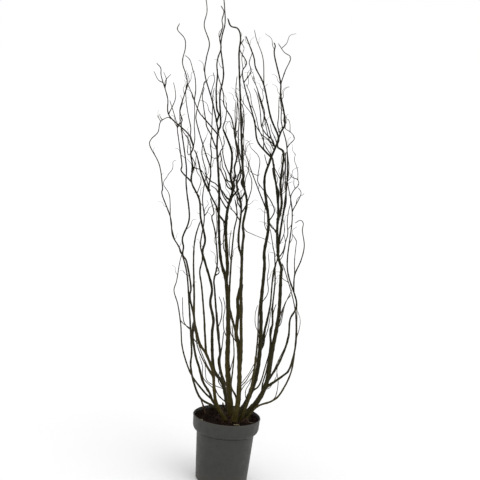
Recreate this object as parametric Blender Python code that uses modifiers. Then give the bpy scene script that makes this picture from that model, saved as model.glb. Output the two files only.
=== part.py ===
"""A curly willow shrub in winter, grown from one old crown in a round nursery pot.

Metres, +Z up. The origin is the centre of the pot's underside, and +X is the side that
the wide right-hand stems lean to. Each stem is a list of the points where it turns, seen
from the front as (x, z). Its depth in y follows from where it leaves the crown, how far
it leans back or forward by the top, and the curl that this willow winds into.
"""

import math
from collections import namedtuple

import bmesh
import bpy
from mathutils import Matrix, Vector

# --- driving dimensions ---------------------------------------------------------------
POT_HEIGHT = 0.209
RIM_RADIUS = 0.105
COLLAR_HEIGHT = 0.037
COLLAR_DRAFT = 0.0020          # how much narrower the collar is at its lower edge
SHOULDER_HEIGHT = 0.012        # the rounded step between collar and body
BODY_RADIUS = 0.0905           # just under the shoulder
BASE_RADIUS = 0.0813
BASE_CORNER = 0.005            # radius of the rounding between wall and underside
POT_WALL = 0.0022
LIP_BULGE = 0.0010             # how far the bead that stiffens the rim stands out
LIP_HEIGHT = 0.005
DRAIN_HOLES = 8
DRAIN_RADIUS = 0.0055
DRAIN_INSET = 0.014            # from the foot's edge to the middle of a drain hole
POT_STEPS = 40                 # sides of the turned pieces
COMPOST_TOP = 0.199
GAP = 0.0004                   # between neighbours, so that no two solids touch
CURL_PITCH = 0.085             # height of one turn of the willow's curl
CURL_RADIUS = 0.007
CURL_START = 0.11              # the curl grows to its full size over this height
PLANT_TOP = 1.514              # height at which a stem has leaned its full amount
LEAN_POWER = 0.75
STEM_STEP = 0.024              # distance between rings along a stem

Stem = namedtuple("Stem", "foot tip depth lean turn bark points forks")
Fork = namedtuple("Fork", "foot tip spread points")

OLIVE = (0.085, 0.075, 0.033)
BROWN = (0.040, 0.027, 0.018)
RED_BROWN = (0.075, 0.036, 0.022)

# --- the stems ------------------------------------------------------------------------
# foot, tip: radii. depth: y where the stem leaves the crown. lean: how far back it has
# gone by the top. turn: where in its winding the curl begins. A fork's spread is how
# far back it parts from its stem for each metre that it climbs.
STEMS = {
    "stem_outer_left": Stem(0.0038, 0.0012, -0.012, -0.16, 5.25, BROWN, [
        (-0.008, 0.202), (-0.040, 0.239), (-0.085, 0.264), (-0.110, 0.314),
        (-0.125, 0.369), (-0.125, 0.419), (-0.135, 0.499), (-0.145, 0.574),
        (-0.160, 0.674), (-0.185, 0.739), (-0.210, 0.779), (-0.220, 0.834),
        (-0.250, 0.899), (-0.250, 0.924), (-0.265, 0.989), (-0.295, 1.039),
        (-0.295, 1.059), (-0.275, 1.084), (-0.270, 1.114), (-0.250, 1.129),
        (-0.240, 1.124)], [
        Fork(0.0018, 0.0009, 0.15, [
            (-0.200, 0.769), (-0.220, 0.819), (-0.230, 0.894), (-0.250, 0.929),
            (-0.240, 0.954)])]),
    "stem_left_upright": Stem(0.0042, 0.0013, 0.010, 0.20, 6.25, BROWN, [
        (-0.002, 0.202), (-0.045, 0.239), (-0.060, 0.264), (-0.085, 0.299),
        (-0.100, 0.339), (-0.115, 0.374), (-0.130, 0.434), (-0.130, 0.489),
        (-0.150, 0.554), (-0.150, 0.589), (-0.170, 0.664), (-0.185, 0.684),
        (-0.185, 0.709), (-0.190, 0.739), (-0.175, 0.799), (-0.190, 0.879),
        (-0.195, 0.914), (-0.200, 0.964), (-0.225, 1.079), (-0.225, 1.104),
        (-0.235, 1.134), (-0.220, 1.219), (-0.240, 1.279), (-0.235, 1.324),
        (-0.240, 1.354), (-0.265, 1.379), (-0.260, 1.399)], [
        Fork(0.0032, 0.0012, -0.10, [
            (-0.050, 0.249), (-0.075, 0.264), (-0.115, 0.309), (-0.140, 0.349),
            (-0.160, 0.409), (-0.170, 0.474), (-0.185, 0.534), (-0.200, 0.579),
            (-0.195, 0.609), (-0.190, 0.669), (-0.185, 0.699)])]),
    "stem_left_olive": Stem(0.0058, 0.0018, -0.030, -0.24, 0.97, OLIVE, [
        (-0.004, 0.204), (-0.035, 0.259), (-0.045, 0.304), (-0.055, 0.369),
        (-0.080, 0.424), (-0.100, 0.454), (-0.115, 0.499), (-0.125, 0.544),
        (-0.130, 0.609), (-0.140, 0.729), (-0.140, 0.789), (-0.130, 0.839)], [
        Fork(0.0036, 0.0014, 0.12, [
            (-0.080, 0.424), (-0.090, 0.499), (-0.095, 0.539), (-0.110, 0.634),
            (-0.120, 0.679), (-0.115, 0.724), (-0.125, 0.764), (-0.120, 0.839),
            (-0.130, 0.904), (-0.125, 0.974)])]),
    "stem_left_thick": Stem(0.0060, 0.0014, 0.024, 0.24, 1.97, BROWN, [
        (0.006, 0.198), (-0.020, 0.289), (-0.055, 0.334), (-0.070, 0.439),
        (-0.070, 0.484), (-0.085, 0.539), (-0.085, 0.584), (-0.115, 0.664),
        (-0.125, 0.694), (-0.120, 0.734), (-0.140, 0.799), (-0.150, 0.854),
        (-0.180, 0.909), (-0.180, 0.954), (-0.190, 0.994), (-0.185, 1.019),
        (-0.205, 1.059), (-0.270, 1.109), (-0.280, 1.164), (-0.305, 1.229),
        (-0.310, 1.254), (-0.325, 1.269)], [
        Fork(0.0026, 0.0011, -0.12, [
            (-0.180, 0.909), (-0.215, 0.939), (-0.215, 0.964), (-0.235, 1.054),
            (-0.245, 1.094), (-0.270, 1.159)]),
        Fork(0.0018, 0.0009, 0.10, [
            (-0.295, 1.194), (-0.290, 1.219), (-0.275, 1.239)])]),
    "stem_centre_left": Stem(0.0048, 0.0018, 0.046, 0.20, 2.96, BROWN, [
        (0.012, 0.199), (-0.010, 0.264), (-0.040, 0.349), (-0.040, 0.384),
        (-0.055, 0.459), (-0.075, 0.574), (-0.080, 0.609), (-0.075, 0.664),
        (-0.090, 0.754), (-0.105, 0.804), (-0.100, 0.819), (-0.115, 0.864)], []),
    "stem_centre": Stem(0.0092, 0.0027, -0.006, -0.06, 3.96, OLIVE, [
        (0.014, 0.204), (0.005, 0.264), (-0.010, 0.359), (-0.015, 0.404),
        (-0.020, 0.489), (-0.030, 0.584), (-0.040, 0.644), (-0.040, 0.689),
        (-0.055, 0.799), (-0.055, 0.864), (-0.045, 0.924), (-0.055, 0.964),
        (-0.055, 0.999), (-0.060, 1.044), (-0.090, 1.104)], [
        Fork(0.0030, 0.0012, -0.14, [
            (-0.055, 0.819), (-0.080, 0.849), (-0.090, 0.874), (-0.115, 0.919),
            (-0.115, 0.979), (-0.135, 1.034), (-0.165, 1.114), (-0.170, 1.149),
            (-0.155, 1.229), (-0.150, 1.244)]),
        Fork(0.0048, 0.0015, 0.16, [
            (-0.040, 0.644), (-0.060, 0.699), (-0.070, 0.749), (-0.080, 0.829),
            (-0.085, 0.899), (-0.095, 0.974), (-0.105, 1.044), (-0.105, 1.089),
            (-0.100, 1.114), (-0.110, 1.194), (-0.105, 1.259), (-0.120, 1.334),
            (-0.120, 1.374), (-0.115, 1.419), (-0.130, 1.514)]),
        Fork(0.0026, 0.0012, 0.05, [
            (-0.105, 1.089), (-0.130, 1.174), (-0.160, 1.254), (-0.160, 1.304),
            (-0.155, 1.349), (-0.175, 1.399), (-0.170, 1.444), (-0.182, 1.502)]),
        Fork(0.0024, 0.0011, 0.22, [
            (-0.105, 1.079), (-0.150, 1.124), (-0.170, 1.144), (-0.200, 1.204),
            (-0.215, 1.229)])]),
    "stem_centre_right": Stem(0.0086, 0.0022, -0.036, -0.10, 5.75, OLIVE, [
        (0.024, 0.204), (0.030, 0.259), (0.030, 0.309), (0.025, 0.379),
        (0.015, 0.454), (0.005, 0.494), (0.005, 0.559), (0.000, 0.599),
        (0.005, 0.649), (0.000, 0.729), (-0.010, 0.759), (-0.015, 0.799),
        (-0.015, 0.884), (-0.035, 0.944)], [
        Fork(0.0040, 0.0018, 0.14, [
            (0.005, 0.494), (-0.015, 0.544), (-0.025, 0.589), (-0.030, 0.704),
            (-0.030, 0.799), (-0.025, 0.849), (-0.035, 0.894)]),
        Fork(0.0054, 0.0020, -0.08, [
            (0.025, 0.374), (0.025, 0.439), (0.010, 0.604), (0.000, 0.759),
            (0.000, 0.804), (-0.005, 0.839), (0.000, 0.904), (-0.015, 0.964),
            (-0.030, 1.074), (-0.045, 1.199), (-0.060, 1.324), (-0.060, 1.374),
            (-0.070, 1.399), (-0.090, 1.404), (-0.100, 1.424)]),
        Fork(0.0032, 0.0014, 0.1, [
            (0.030, 0.265), (0.020, 0.290), (0.005, 0.320), (0.005, 0.360),
            (0.005, 0.415), (0.000, 0.455), (-0.010, 0.510)])]),
    "stem_right_upright": Stem(0.0078, 0.0018, 0.026, 0.16, 0.47, BROWN, [
        (0.034, 0.199), (0.055, 0.239), (0.065, 0.264), (0.080, 0.324),
        (0.085, 0.394), (0.080, 0.504), (0.075, 0.549), (0.075, 0.669),
        (0.070, 0.719), (0.075, 0.809), (0.050, 0.934), (0.060, 0.999),
        (0.075, 1.049), (0.080, 1.079), (0.050, 1.139), (0.020, 1.234),
        (-0.010, 1.284), (-0.020, 1.319), (-0.050, 1.379)], [
        Fork(0.0032, 0.0015, -0.12, [
            (0.065, 1.014), (0.040, 1.034), (0.015, 1.064), (0.000, 1.124),
            (-0.035, 1.214), (-0.050, 1.269), (-0.040, 1.299), (-0.065, 1.339),
            (-0.055, 1.369)]),
        Fork(0.0018, 0.0010, 0.14, [
            (0.020, 1.234), (0.010, 1.314), (-0.015, 1.369), (-0.025, 1.399)]),
        Fork(0.0024, 0.0011, -0.20, [
            (0.070, 0.839), (0.030, 0.919), (-0.010, 1.004), (-0.035, 1.064)]),
        Fork(0.0036, 0.0014, 0.18, [
            (0.085, 0.394), (0.090, 0.439), (0.105, 0.549), (0.105, 0.604),
            (0.115, 0.694)]),
        Fork(0.0036, 0.0012, 0.1, [
            (0.085, 0.405), (0.095, 0.430), (0.095, 0.470), (0.100, 0.500),
            (0.105, 0.550), (0.105, 0.590), (0.105, 0.655), (0.115, 0.690),
            (0.130, 0.720), (0.135, 0.750), (0.140, 0.775), (0.135, 0.805),
            (0.135, 0.840), (0.140, 0.870)])]),
    "stem_right_green": Stem(0.0048, 0.0016, -0.022, -0.34, 1.47, OLIVE, [
        (0.040, 0.200), (0.060, 0.274), (0.065, 0.319), (0.070, 0.404),
        (0.070, 0.499), (0.065, 0.574), (0.065, 0.614)], []),
    "stem_right_thick": Stem(0.0084, 0.0026, 0.004, -0.04, 2.46, BROWN, [
        (0.046, 0.202), (0.075, 0.239), (0.095, 0.269), (0.115, 0.329),
        (0.120, 0.414), (0.130, 0.544), (0.125, 0.674), (0.125, 0.694),
        (0.110, 0.734), (0.100, 0.809), (0.095, 0.889), (0.065, 1.029)], [
        Fork(0.0038, 0.0016, 0.14, [
            (0.110, 0.744), (0.110, 0.809), (0.115, 0.889), (0.115, 0.979),
            (0.105, 1.064), (0.090, 1.109)]),
        Fork(0.0042, 0.0018, -0.14, [
            (0.100, 0.844), (0.105, 0.894), (0.095, 0.959), (0.095, 1.049),
            (0.075, 1.069), (0.080, 1.109), (0.090, 1.144), (0.070, 1.219),
            (0.065, 1.259), (0.040, 1.334), (0.040, 1.359), (0.035, 1.369)]),
        Fork(0.0044, 0.0014, -0.20, [
            (0.115, 0.304), (0.160, 0.354), (0.180, 0.384), (0.190, 0.464),
            (0.185, 0.544), (0.180, 0.594)]),
        Fork(0.0042, 0.0012, 0.1, [
            (0.120, 0.395), (0.115, 0.450), (0.110, 0.490), (0.115, 0.510),
            (0.110, 0.560), (0.110, 0.615), (0.110, 0.645), (0.105, 0.695),
            (0.100, 0.730), (0.095, 0.745), (0.090, 0.765), (0.085, 0.785),
            (0.080, 0.805)])]),
    "stem_right_wide": Stem(0.0036, 0.0013, -0.018, 0.02, 3.46, OLIVE, [
        (0.056, 0.198), (0.090, 0.249), (0.135, 0.274), (0.160, 0.299),
        (0.185, 0.369), (0.190, 0.449), (0.185, 0.534), (0.170, 0.599),
        (0.135, 0.689), (0.125, 0.709)], []),
    "stem_right_arch": Stem(0.0044, 0.0015, 0.040, 0.06, 5.45, BROWN, [
        (0.054, 0.196), (0.090, 0.254), (0.120, 0.319), (0.150, 0.379),
        (0.170, 0.454), (0.170, 0.519), (0.185, 0.574), (0.145, 0.684),
        (0.145, 0.844), (0.120, 0.949)], [
        Fork(0.0026, 0.0012, -0.10, [
            (0.170, 0.609), (0.170, 0.664), (0.185, 0.709), (0.190, 0.759),
            (0.180, 0.804), (0.180, 0.829), (0.170, 0.839), (0.155, 0.829)]),
        Fork(0.0020, 0.0010, 0.12, [
            (0.140, 0.859), (0.165, 0.914), (0.155, 0.934)])]),
    "stem_right_inner": Stem(0.0038, 0.0015, 0.046, 0.30, 5.45, OLIVE, [
        (0.036, 0.201), (0.070, 0.264), (0.095, 0.289), (0.110, 0.354),
        (0.120, 0.409)], []),
}

# Knuckles of the old crown: centre, then radii.
KNUCKLES = [
    ((0.016, -0.002, 0.192), (0.036, 0.034, 0.030)),
    ((0.046, 0.004, 0.190), (0.030, 0.028, 0.024)),
    ((-0.010, -0.002, 0.192), (0.026, 0.024, 0.022)),
    ((0.024, 0.038, 0.186), (0.034, 0.026, 0.026)),
    ((0.022, -0.032, 0.186), (0.028, 0.022, 0.026)),
    ((0.052, -0.018, 0.188), (0.026, 0.022, 0.024)),
    ((-0.004, -0.026, 0.188), (0.024, 0.020, 0.026)),
    ((0.000, 0.026, 0.187), (0.024, 0.022, 0.025)),
    ((0.054, 0.034, 0.186), (0.026, 0.022, 0.025)),
]

# Short dead remains of old stems: foot, head, radius.
STUBS = {
    "stub_back": ((-0.012, 0.068, 0.174), (-0.016, 0.070, 0.226), 0.0034),
    "stub_left": ((-0.060, 0.020, 0.176), (-0.086, 0.022, 0.246), 0.0030),
}

# Pale chips lying on the compost: centre in x and y, length, width, turn in degrees.
CHIPS = {
    "bark_chip_front": (0.032, -0.064, 0.020, 0.007, -12.0),
    "bark_chip_left": (-0.079, -0.044, 0.015, 0.007, -40.0),
    "bark_chip_right": (0.077, -0.034, 0.011, 0.006, -35.0),
}
CHIP_THICKNESS = 0.0022


# --- helpers --------------------------------------------------------------------------
def material(name, colour, roughness):
    """A plain Principled material; willow, plastic and compost are all non-metals."""
    found = bpy.data.materials.get(name) or bpy.data.materials.new(name)
    found.use_nodes = True
    shader = found.node_tree.nodes["Principled BSDF"]
    shader.inputs["Base Color"].default_value = (*colour, 1.0)
    shader.inputs["Roughness"].default_value = roughness
    shader.inputs["Metallic"].default_value = 0.0
    return found


def place(name, mesh, collection, finish=None):
    made = bpy.data.objects.new(name, mesh)
    collection.objects.link(made)
    if finish:
        mesh.materials.clear()
        mesh.materials.append(finish)
    return made


def as_mesh(curve_object):
    """The curve's tube as one closed mesh in a new object; the curve is removed."""
    graph = bpy.context.evaluated_depsgraph_get()
    mesh = bpy.data.meshes.new_from_object(curve_object.evaluated_get(graph))
    shape = bmesh.new()
    shape.from_mesh(mesh)
    bmesh.ops.remove_doubles(shape, verts=shape.verts, dist=1e-6)
    bmesh.ops.recalc_face_normals(shape, faces=shape.faces)
    shape.to_mesh(mesh)
    shape.free()
    made = place(curve_object.name + "_mesh", mesh, curve_object.users_collection[0])
    made.matrix_world = curve_object.matrix_world
    bpy.data.objects.remove(curve_object)
    return made


def hidden(obj):
    obj.hide_render = True
    obj.display_type = "WIRE"
    return obj


def boolean(obj, other, operation):
    modifier = obj.modifiers.new(operation.title(), "BOOLEAN")
    modifier.operation = operation
    modifier.object = other
    modifier.solver = "EXACT"


def shade(obj):
    obj.data.shade_smooth()
    obj.data.set_sharp_from_angle(angle=math.radians(40))


# --- routes ---------------------------------------------------------------------------
def curl(z, turn):
    """Depth of the corkscrew winding at height z."""
    grown = min(1.0, max(0.0, (z - COMPOST_TOP) / CURL_START))
    return CURL_RADIUS * grown * math.sin(2 * math.pi * z / CURL_PITCH + turn)


def stem_depth(stem, z):
    """How far back a stem is at height z."""
    risen = max(0.0, (z - COMPOST_TOP) / (PLANT_TOP - COMPOST_TOP))
    return stem.depth + stem.lean * risen ** LEAN_POWER + curl(z, stem.turn)


def fork_depth(stem, fork, joint, z):
    """How far back a fork that parts at `joint` is at height z."""
    along = stem_depth(stem, z) - stem_depth(stem, joint.z)
    return joint.y + along + fork.spread * max(0.0, z - joint.z)


def smooth_route(points, step):
    """Points every `step` along a Catmull-Rom curve through the given ones."""
    ends = [points[0] * 2 - points[1], *points, points[-1] * 2 - points[-2]]
    fine = []
    for a, b, c, d in zip(ends, ends[1:], ends[2:], ends[3:]):
        pieces = max(2, round((c - b).length / step * 4))
        for i in range(pieces):
            t = i / pieces
            fine.append(0.5 * (2 * b + (c - a) * t + (2 * a - 5 * b + 4 * c - d) * t * t
                               + (3 * b - 3 * c + d - a) * t ** 3))
    fine.append(points[-1])
    length = sum((q - p).length for p, q in zip(fine, fine[1:]))
    count = max(3, round(length / step))
    route, travelled, wanted = [fine[0]], 0.0, length / count
    for p, q in zip(fine, fine[1:]):
        run = (q - p).length
        while travelled + run >= wanted and len(route) < count:
            route.append(p.lerp(q, (wanted - travelled) / run))
            wanted += length / count
        travelled += run
    return route + [fine[-1]]


def stem_route(stem, step=STEM_STEP):
    points = [Vector((x, stem_depth(stem, z), z)) for x, z in stem.points]
    return smooth_route(points, step)


def fork_routes(stem, step=STEM_STEP):
    """Each fork's route. It starts on the nearest point of the wood that is there already."""
    wood = stem_route(stem, step / 4)
    routes = []
    for fork in stem.forks:
        (x, z), rest = fork.points[0], fork.points[1:]
        joint = min(wood, key=lambda p: math.hypot(p.x - x, p.z - z))
        points = [joint] + [Vector((x, fork_depth(stem, fork, joint, z), z)) for x, z in rest]
        routes.append(smooth_route(points, step))
        wood = wood + smooth_route(points, step / 4)
    return routes


# --- pieces ---------------------------------------------------------------------------
def pot_outline(inset):
    """The pot's outer wall from the base up, moved in by `inset`, as (radius, height)."""
    collar_foot = POT_HEIGHT - COLLAR_HEIGHT
    body_top = collar_foot - SHOULDER_HEIGHT
    collar = RIM_RADIUS - COLLAR_DRAFT
    wall = []
    for i in range(4):
        angle = math.radians(90 * i / 3)
        wall.append((BASE_RADIUS - BASE_CORNER + (BASE_CORNER - inset) * math.sin(angle),
                     BASE_CORNER - (BASE_CORNER - inset) * math.cos(angle)))
    wall.append((BODY_RADIUS - inset, body_top))
    for i in range(1, 5):
        angle = math.radians(90 * i / 4)
        wall.append((BODY_RADIUS + (collar - BODY_RADIUS) * math.sin(angle) - inset,
                     body_top + SHOULDER_HEIGHT * (1 - math.cos(angle))))
    wall.append((RIM_RADIUS - inset, POT_HEIGHT))
    return wall


def turned(name, profile, collection, finish):
    """A solid of revolution; the profile runs down its outer side, top to bottom."""
    mesh = bpy.data.meshes.new(name)
    edges = [(i, i + 1) for i in range(len(profile) - 1)]
    mesh.from_pydata([(r, 0.0, z) for r, z in profile], edges, [])
    made = place(name, mesh, collection, finish)
    screw = made.modifiers.new("Screw", "SCREW")
    screw.steps = screw.render_steps = POT_STEPS
    screw.use_merge_vertices = True
    screw.merge_threshold = 0.00002
    return made


def pot(parts, cutters):
    """One moulded pot with a deep collar, a beaded rim and drain holes round its foot."""
    outer = pot_outline(0.0)[:-1]
    inner = pot_outline(POT_WALL)
    rim = [(RIM_RADIUS, POT_HEIGHT - LIP_HEIGHT),
           (RIM_RADIUS + LIP_BULGE, POT_HEIGHT - LIP_HEIGHT * 0.4),
           (RIM_RADIUS, POT_HEIGHT), (RIM_RADIUS - POT_WALL, POT_HEIGHT)]
    profile = [(0.0, POT_WALL), *inner[:-1], *reversed(rim), *reversed(outer), (0.0, 0.0)]
    made = turned("pot", profile, parts, material("pot_plastic", (0.052, 0.052, 0.048), 0.45))
    holes = bmesh.new()
    for i in range(DRAIN_HOLES):
        around = Matrix.Rotation(2 * math.pi * (i + 0.5) / DRAIN_HOLES, 4, "Z")
        away = Matrix.Translation((BASE_RADIUS - DRAIN_INSET, 0.0, 0.0))
        bmesh.ops.create_cone(holes, cap_ends=True, segments=12, radius1=DRAIN_RADIUS,
                              radius2=DRAIN_RADIUS, depth=POT_WALL * 4, matrix=around @ away)
    mesh = bpy.data.meshes.new("drain_holes")
    holes.to_mesh(mesh)
    holes.free()
    boolean(made, hidden(place("drain_holes", mesh, cutters)), "DIFFERENCE")
    shade(made)
    return made


def crown_solid(name, collection, grow):
    """The knuckles joined into one stump, each swollen by `grow`."""
    knuckles = []
    for i, (centre, radii) in enumerate(KNUCKLES):
        shape = bmesh.new()
        bmesh.ops.create_uvsphere(shape, u_segments=14, v_segments=8, radius=1.0)
        size = Matrix.Diagonal([r + grow for r in radii]).to_4x4()
        twist = Matrix.Rotation(0.37 * i, 4, "Z")
        bmesh.ops.transform(shape, verts=shape.verts,
                            matrix=Matrix.Translation(centre) @ size @ twist)
        mesh = bpy.data.meshes.new(f"{name}_{i}")
        shape.to_mesh(mesh)
        shape.free()
        knuckles.append(mesh)
    made = place(name, knuckles[0], collection)
    for i, mesh in enumerate(knuckles[1:], 1):
        boolean(made, hidden(place(f"{name}_knuckle_{i}", mesh, collection)), "UNION")
    return made


def tube(name, route, foot, tip, sides, collection):
    """A tapering tube of four to eight sides along the route."""
    curve = bpy.data.curves.new(name, "CURVE")
    curve.dimensions = "3D"
    curve.bevel_depth = 0.001
    curve.bevel_resolution = (sides - 4) // 2
    curve.use_fill_caps = True
    spline = curve.splines.new("POLY")
    spline.points.add(len(route) - 1)
    last = len(route) - 1
    for i, (point, at) in enumerate(zip(spline.points, route)):
        point.co = (*at, 1.0)
        point.radius = (foot + (tip - foot) * (i / last) ** 0.8) / curve.bevel_depth
    return as_mesh(place(name, curve, collection))


def stub(name, foot, head, radius, parts, finish):
    route = smooth_route([Vector(foot), Vector(foot).lerp(Vector(head), 0.5)
                          + Vector((0.002, 0.0, 0.0)), Vector(head)], STEM_STEP)
    made = tube(name, route, radius, radius * 0.8, 6, parts)
    made.name = name
    made.data.materials.append(finish)
    shade(made)
    return made


def stem(name, spec, parts, cutters, socket):
    """A stem with its forks as one solid, its foot shaped to the crown."""
    made = tube(name, stem_route(spec), spec.foot, spec.tip, 6, parts)
    made.name = name
    for i, (fork, route) in enumerate(zip(spec.forks, fork_routes(spec))):
        sides = 6 if fork.foot > 0.0035 else 4
        arm = tube(f"{name}_fork_{i}", route, fork.foot, fork.tip, sides, cutters)
        boolean(made, hidden(arm), "UNION")
    boolean(made, socket, "DIFFERENCE")
    made.data.materials.append(material("bark_" + name, spec.bark, 0.6))
    shade(made)
    return made


def compost(parts, sockets):
    """Compost that fills the pot, with a socket for the crown and for each stub."""
    side = [(r, z) for r, z in pot_outline(POT_WALL + GAP) if z < COMPOST_TOP]
    (r0, z0), (r1, z1) = side[-1], pot_outline(POT_WALL + GAP)[-1]
    top = r0 + (r1 - r0) * (COMPOST_TOP - z0) / (z1 - z0)
    profile = [(0.0, COMPOST_TOP), (top, COMPOST_TOP), *reversed(side), (0.0, POT_WALL + GAP)]
    made = turned("compost", profile, parts, material("compost", (0.020, 0.013, 0.008), 0.95))
    for socket in sockets:
        boolean(made, socket, "DIFFERENCE")
    return made


def chip(name, x, y, length, width, turn, parts):
    shape = bmesh.new()
    bmesh.ops.create_cube(shape, size=1.0)
    mesh = bpy.data.meshes.new(name)
    shape.to_mesh(mesh)
    shape.free()
    made = place(name, mesh, parts, material("old_bark", (0.30, 0.21, 0.12), 0.8))
    up = COMPOST_TOP + GAP + CHIP_THICKNESS / 2
    mesh.transform(Matrix.Diagonal((length, width, CHIP_THICKNESS, 1.0)))
    made.location = (x, y, up)
    made.rotation_euler = (0.0, 0.0, math.radians(turn))
    bevel = made.modifiers.new("Bevel", "BEVEL")
    bevel.width = CHIP_THICKNESS * 0.3
    return made


def main():
    for obj in list(bpy.data.objects):
        bpy.data.objects.remove(obj)
    parts = bpy.data.collections.new("willow_stems")
    cutters = bpy.data.collections.new("cutters")
    for collection in (parts, cutters):
        bpy.context.scene.collection.children.link(collection)
    pot(parts, cutters)
    crown = crown_solid("crown", parts, 0.0)
    crown.data.materials.append(material("old_wood", (0.055, 0.038, 0.024), 0.85))
    socket = hidden(crown_solid("crown_socket", cutters, GAP))
    sockets = [socket]
    dead = material("dead_wood", (0.12, 0.085, 0.05), 0.85)
    for name, (foot, head, radius) in STUBS.items():
        stub(name, foot, head, radius, parts, dead)
        sockets.append(hidden(stub(name + "_socket", foot, head, radius + GAP, cutters, dead)))
    compost(parts, sockets)
    for name, spec in STEMS.items():
        stem(name, spec, parts, cutters, socket)
    for name, (x, y, length, width, turn) in CHIPS.items():
        chip(name, x, y, length, width, turn, parts)


if __name__ == "__main__":
    main()
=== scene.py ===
"""A curly willow shrub in winter, standing in its round nursery pot.

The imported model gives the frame: the pot, the compost, the old crown, thirteen stems, two
dead stubs and three chips, all of which are made again here with their finer shape. The
stems keep the routes that the solids have, and carry the twigs and buds as well.
Metres, +Z up, with the origin at the centre of the pot's underside.
"""

import math
import random
from collections import namedtuple
from functools import partial

import bmesh
import bpy
from bpy.props import FloatProperty, FloatVectorProperty, IntProperty, PointerProperty
from mathutils import Euler, Matrix, Vector, noise


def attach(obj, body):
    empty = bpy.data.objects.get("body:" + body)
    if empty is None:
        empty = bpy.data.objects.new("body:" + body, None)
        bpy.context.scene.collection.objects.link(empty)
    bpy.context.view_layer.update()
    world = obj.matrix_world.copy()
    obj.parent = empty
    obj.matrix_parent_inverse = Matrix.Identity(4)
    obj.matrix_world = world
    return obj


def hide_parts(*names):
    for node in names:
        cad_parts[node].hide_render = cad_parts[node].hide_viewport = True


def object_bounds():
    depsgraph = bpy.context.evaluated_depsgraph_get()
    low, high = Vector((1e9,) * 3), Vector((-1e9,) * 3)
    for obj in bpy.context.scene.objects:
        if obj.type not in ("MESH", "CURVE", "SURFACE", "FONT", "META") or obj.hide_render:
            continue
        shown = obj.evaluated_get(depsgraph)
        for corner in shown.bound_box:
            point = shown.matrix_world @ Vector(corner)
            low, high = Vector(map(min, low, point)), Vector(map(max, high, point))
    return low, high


bl_info = {
    "name": "Curly willow in a pot",
    "version": (1, 0, 0),
    "blender": (4, 5, 0),
    "location": "View3D > Sidebar > Willow",
    "description": "Builds a potted curly willow shrub on its packed frame",
    "category": "Object",
}

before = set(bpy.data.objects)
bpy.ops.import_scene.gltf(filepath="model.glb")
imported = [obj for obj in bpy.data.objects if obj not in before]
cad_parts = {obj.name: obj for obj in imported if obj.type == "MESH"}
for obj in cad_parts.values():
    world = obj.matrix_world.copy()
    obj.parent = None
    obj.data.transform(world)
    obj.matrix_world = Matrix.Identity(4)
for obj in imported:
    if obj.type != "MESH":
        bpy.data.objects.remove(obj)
CAD_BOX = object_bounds()

# --- sizes shared with the solids -------------------------------------------------------
POT_HEIGHT = 0.209
RIM_RADIUS = 0.105
COLLAR_HEIGHT = 0.037
COLLAR_DRAFT = 0.0020
SHOULDER_HEIGHT = 0.012
COLLAR_FOOT = POT_HEIGHT - COLLAR_HEIGHT
BODY_TOP = COLLAR_FOOT - SHOULDER_HEIGHT
BODY_RADIUS = 0.0905
BASE_RADIUS = 0.0813
BASE_CORNER = 0.005
DRAIN_HOLES = 8
DRAIN_RADIUS = 0.0055
DRAIN_INSET = 0.014
COMPOST_TOP = 0.199
CURL_PITCH = 0.085             # height of one turn of the willow's curl
CURL_RADIUS = 0.007
CURL_START = 0.11
PLANT_TOP = 1.514
LEAN_POWER = 0.75

# --- sizes of the visible model alone ---------------------------------------------------
RING_STEP = 0.0045             # distance between rings along a stem
TWIG_STEP = 0.006              # spacing of the points that a twig may start from
CROWN_VOXEL = 0.0013           # grain of the crown's surface
COMPOST_FOOT = 0.0034          # height of the compost's underside
COMPOST_GAP = 0.0005           # between the compost and the pot's wall
THIN_WOOD = 0.0042             # radius under which a shoot still carries buds and spurs
BUDS_FROM = 0.32               # height of the lowest bud
SPUR_ZONE = (0.62, 1.36)       # heights between which the spurs grow
SPUR_MARGIN = 0.04             # how far inside the solids' box a spur may start
FLOOR_RADIUS = 40.0
SUN_FROM = (1.2, -1.1, 2.6)
CAMERA_AT = (-0.0095, -3.6, 1.394)
OLIVE, BROWN = "bark_olive", "bark_brown"
Stem = namedtuple("Stem", "foot tip depth lean turn bark points forks")
Branch = namedtuple("Branch", "foot tip spread points")


def pairs(route):
    """(x, z) in metres out of a run of x, z, x, z … in millimetres."""
    return [(x / 1000, z / 1000) for x, z in zip(route[::2], route[1::2])]


def shoot(foot, tip, spread, *route):
    """A fork or twig: its radii in tenths of a millimetre, how far back it parts from its
    stem for each metre that it climbs, and its turning points seen from the front."""
    return Branch(foot / 10000, tip / 10000, spread, pairs(route))


def main_stem(foot, tip, depth, lean, turn, bark, route, forks):
    """A stem as in the solids: its radii in tenths of a millimetre, where it stands and
    leans to, front to back, the angle at which its curl starts, its points and its forks."""
    return Stem(foot / 10000, tip / 10000, depth, lean, turn, bark, pairs(route), forks)


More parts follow.
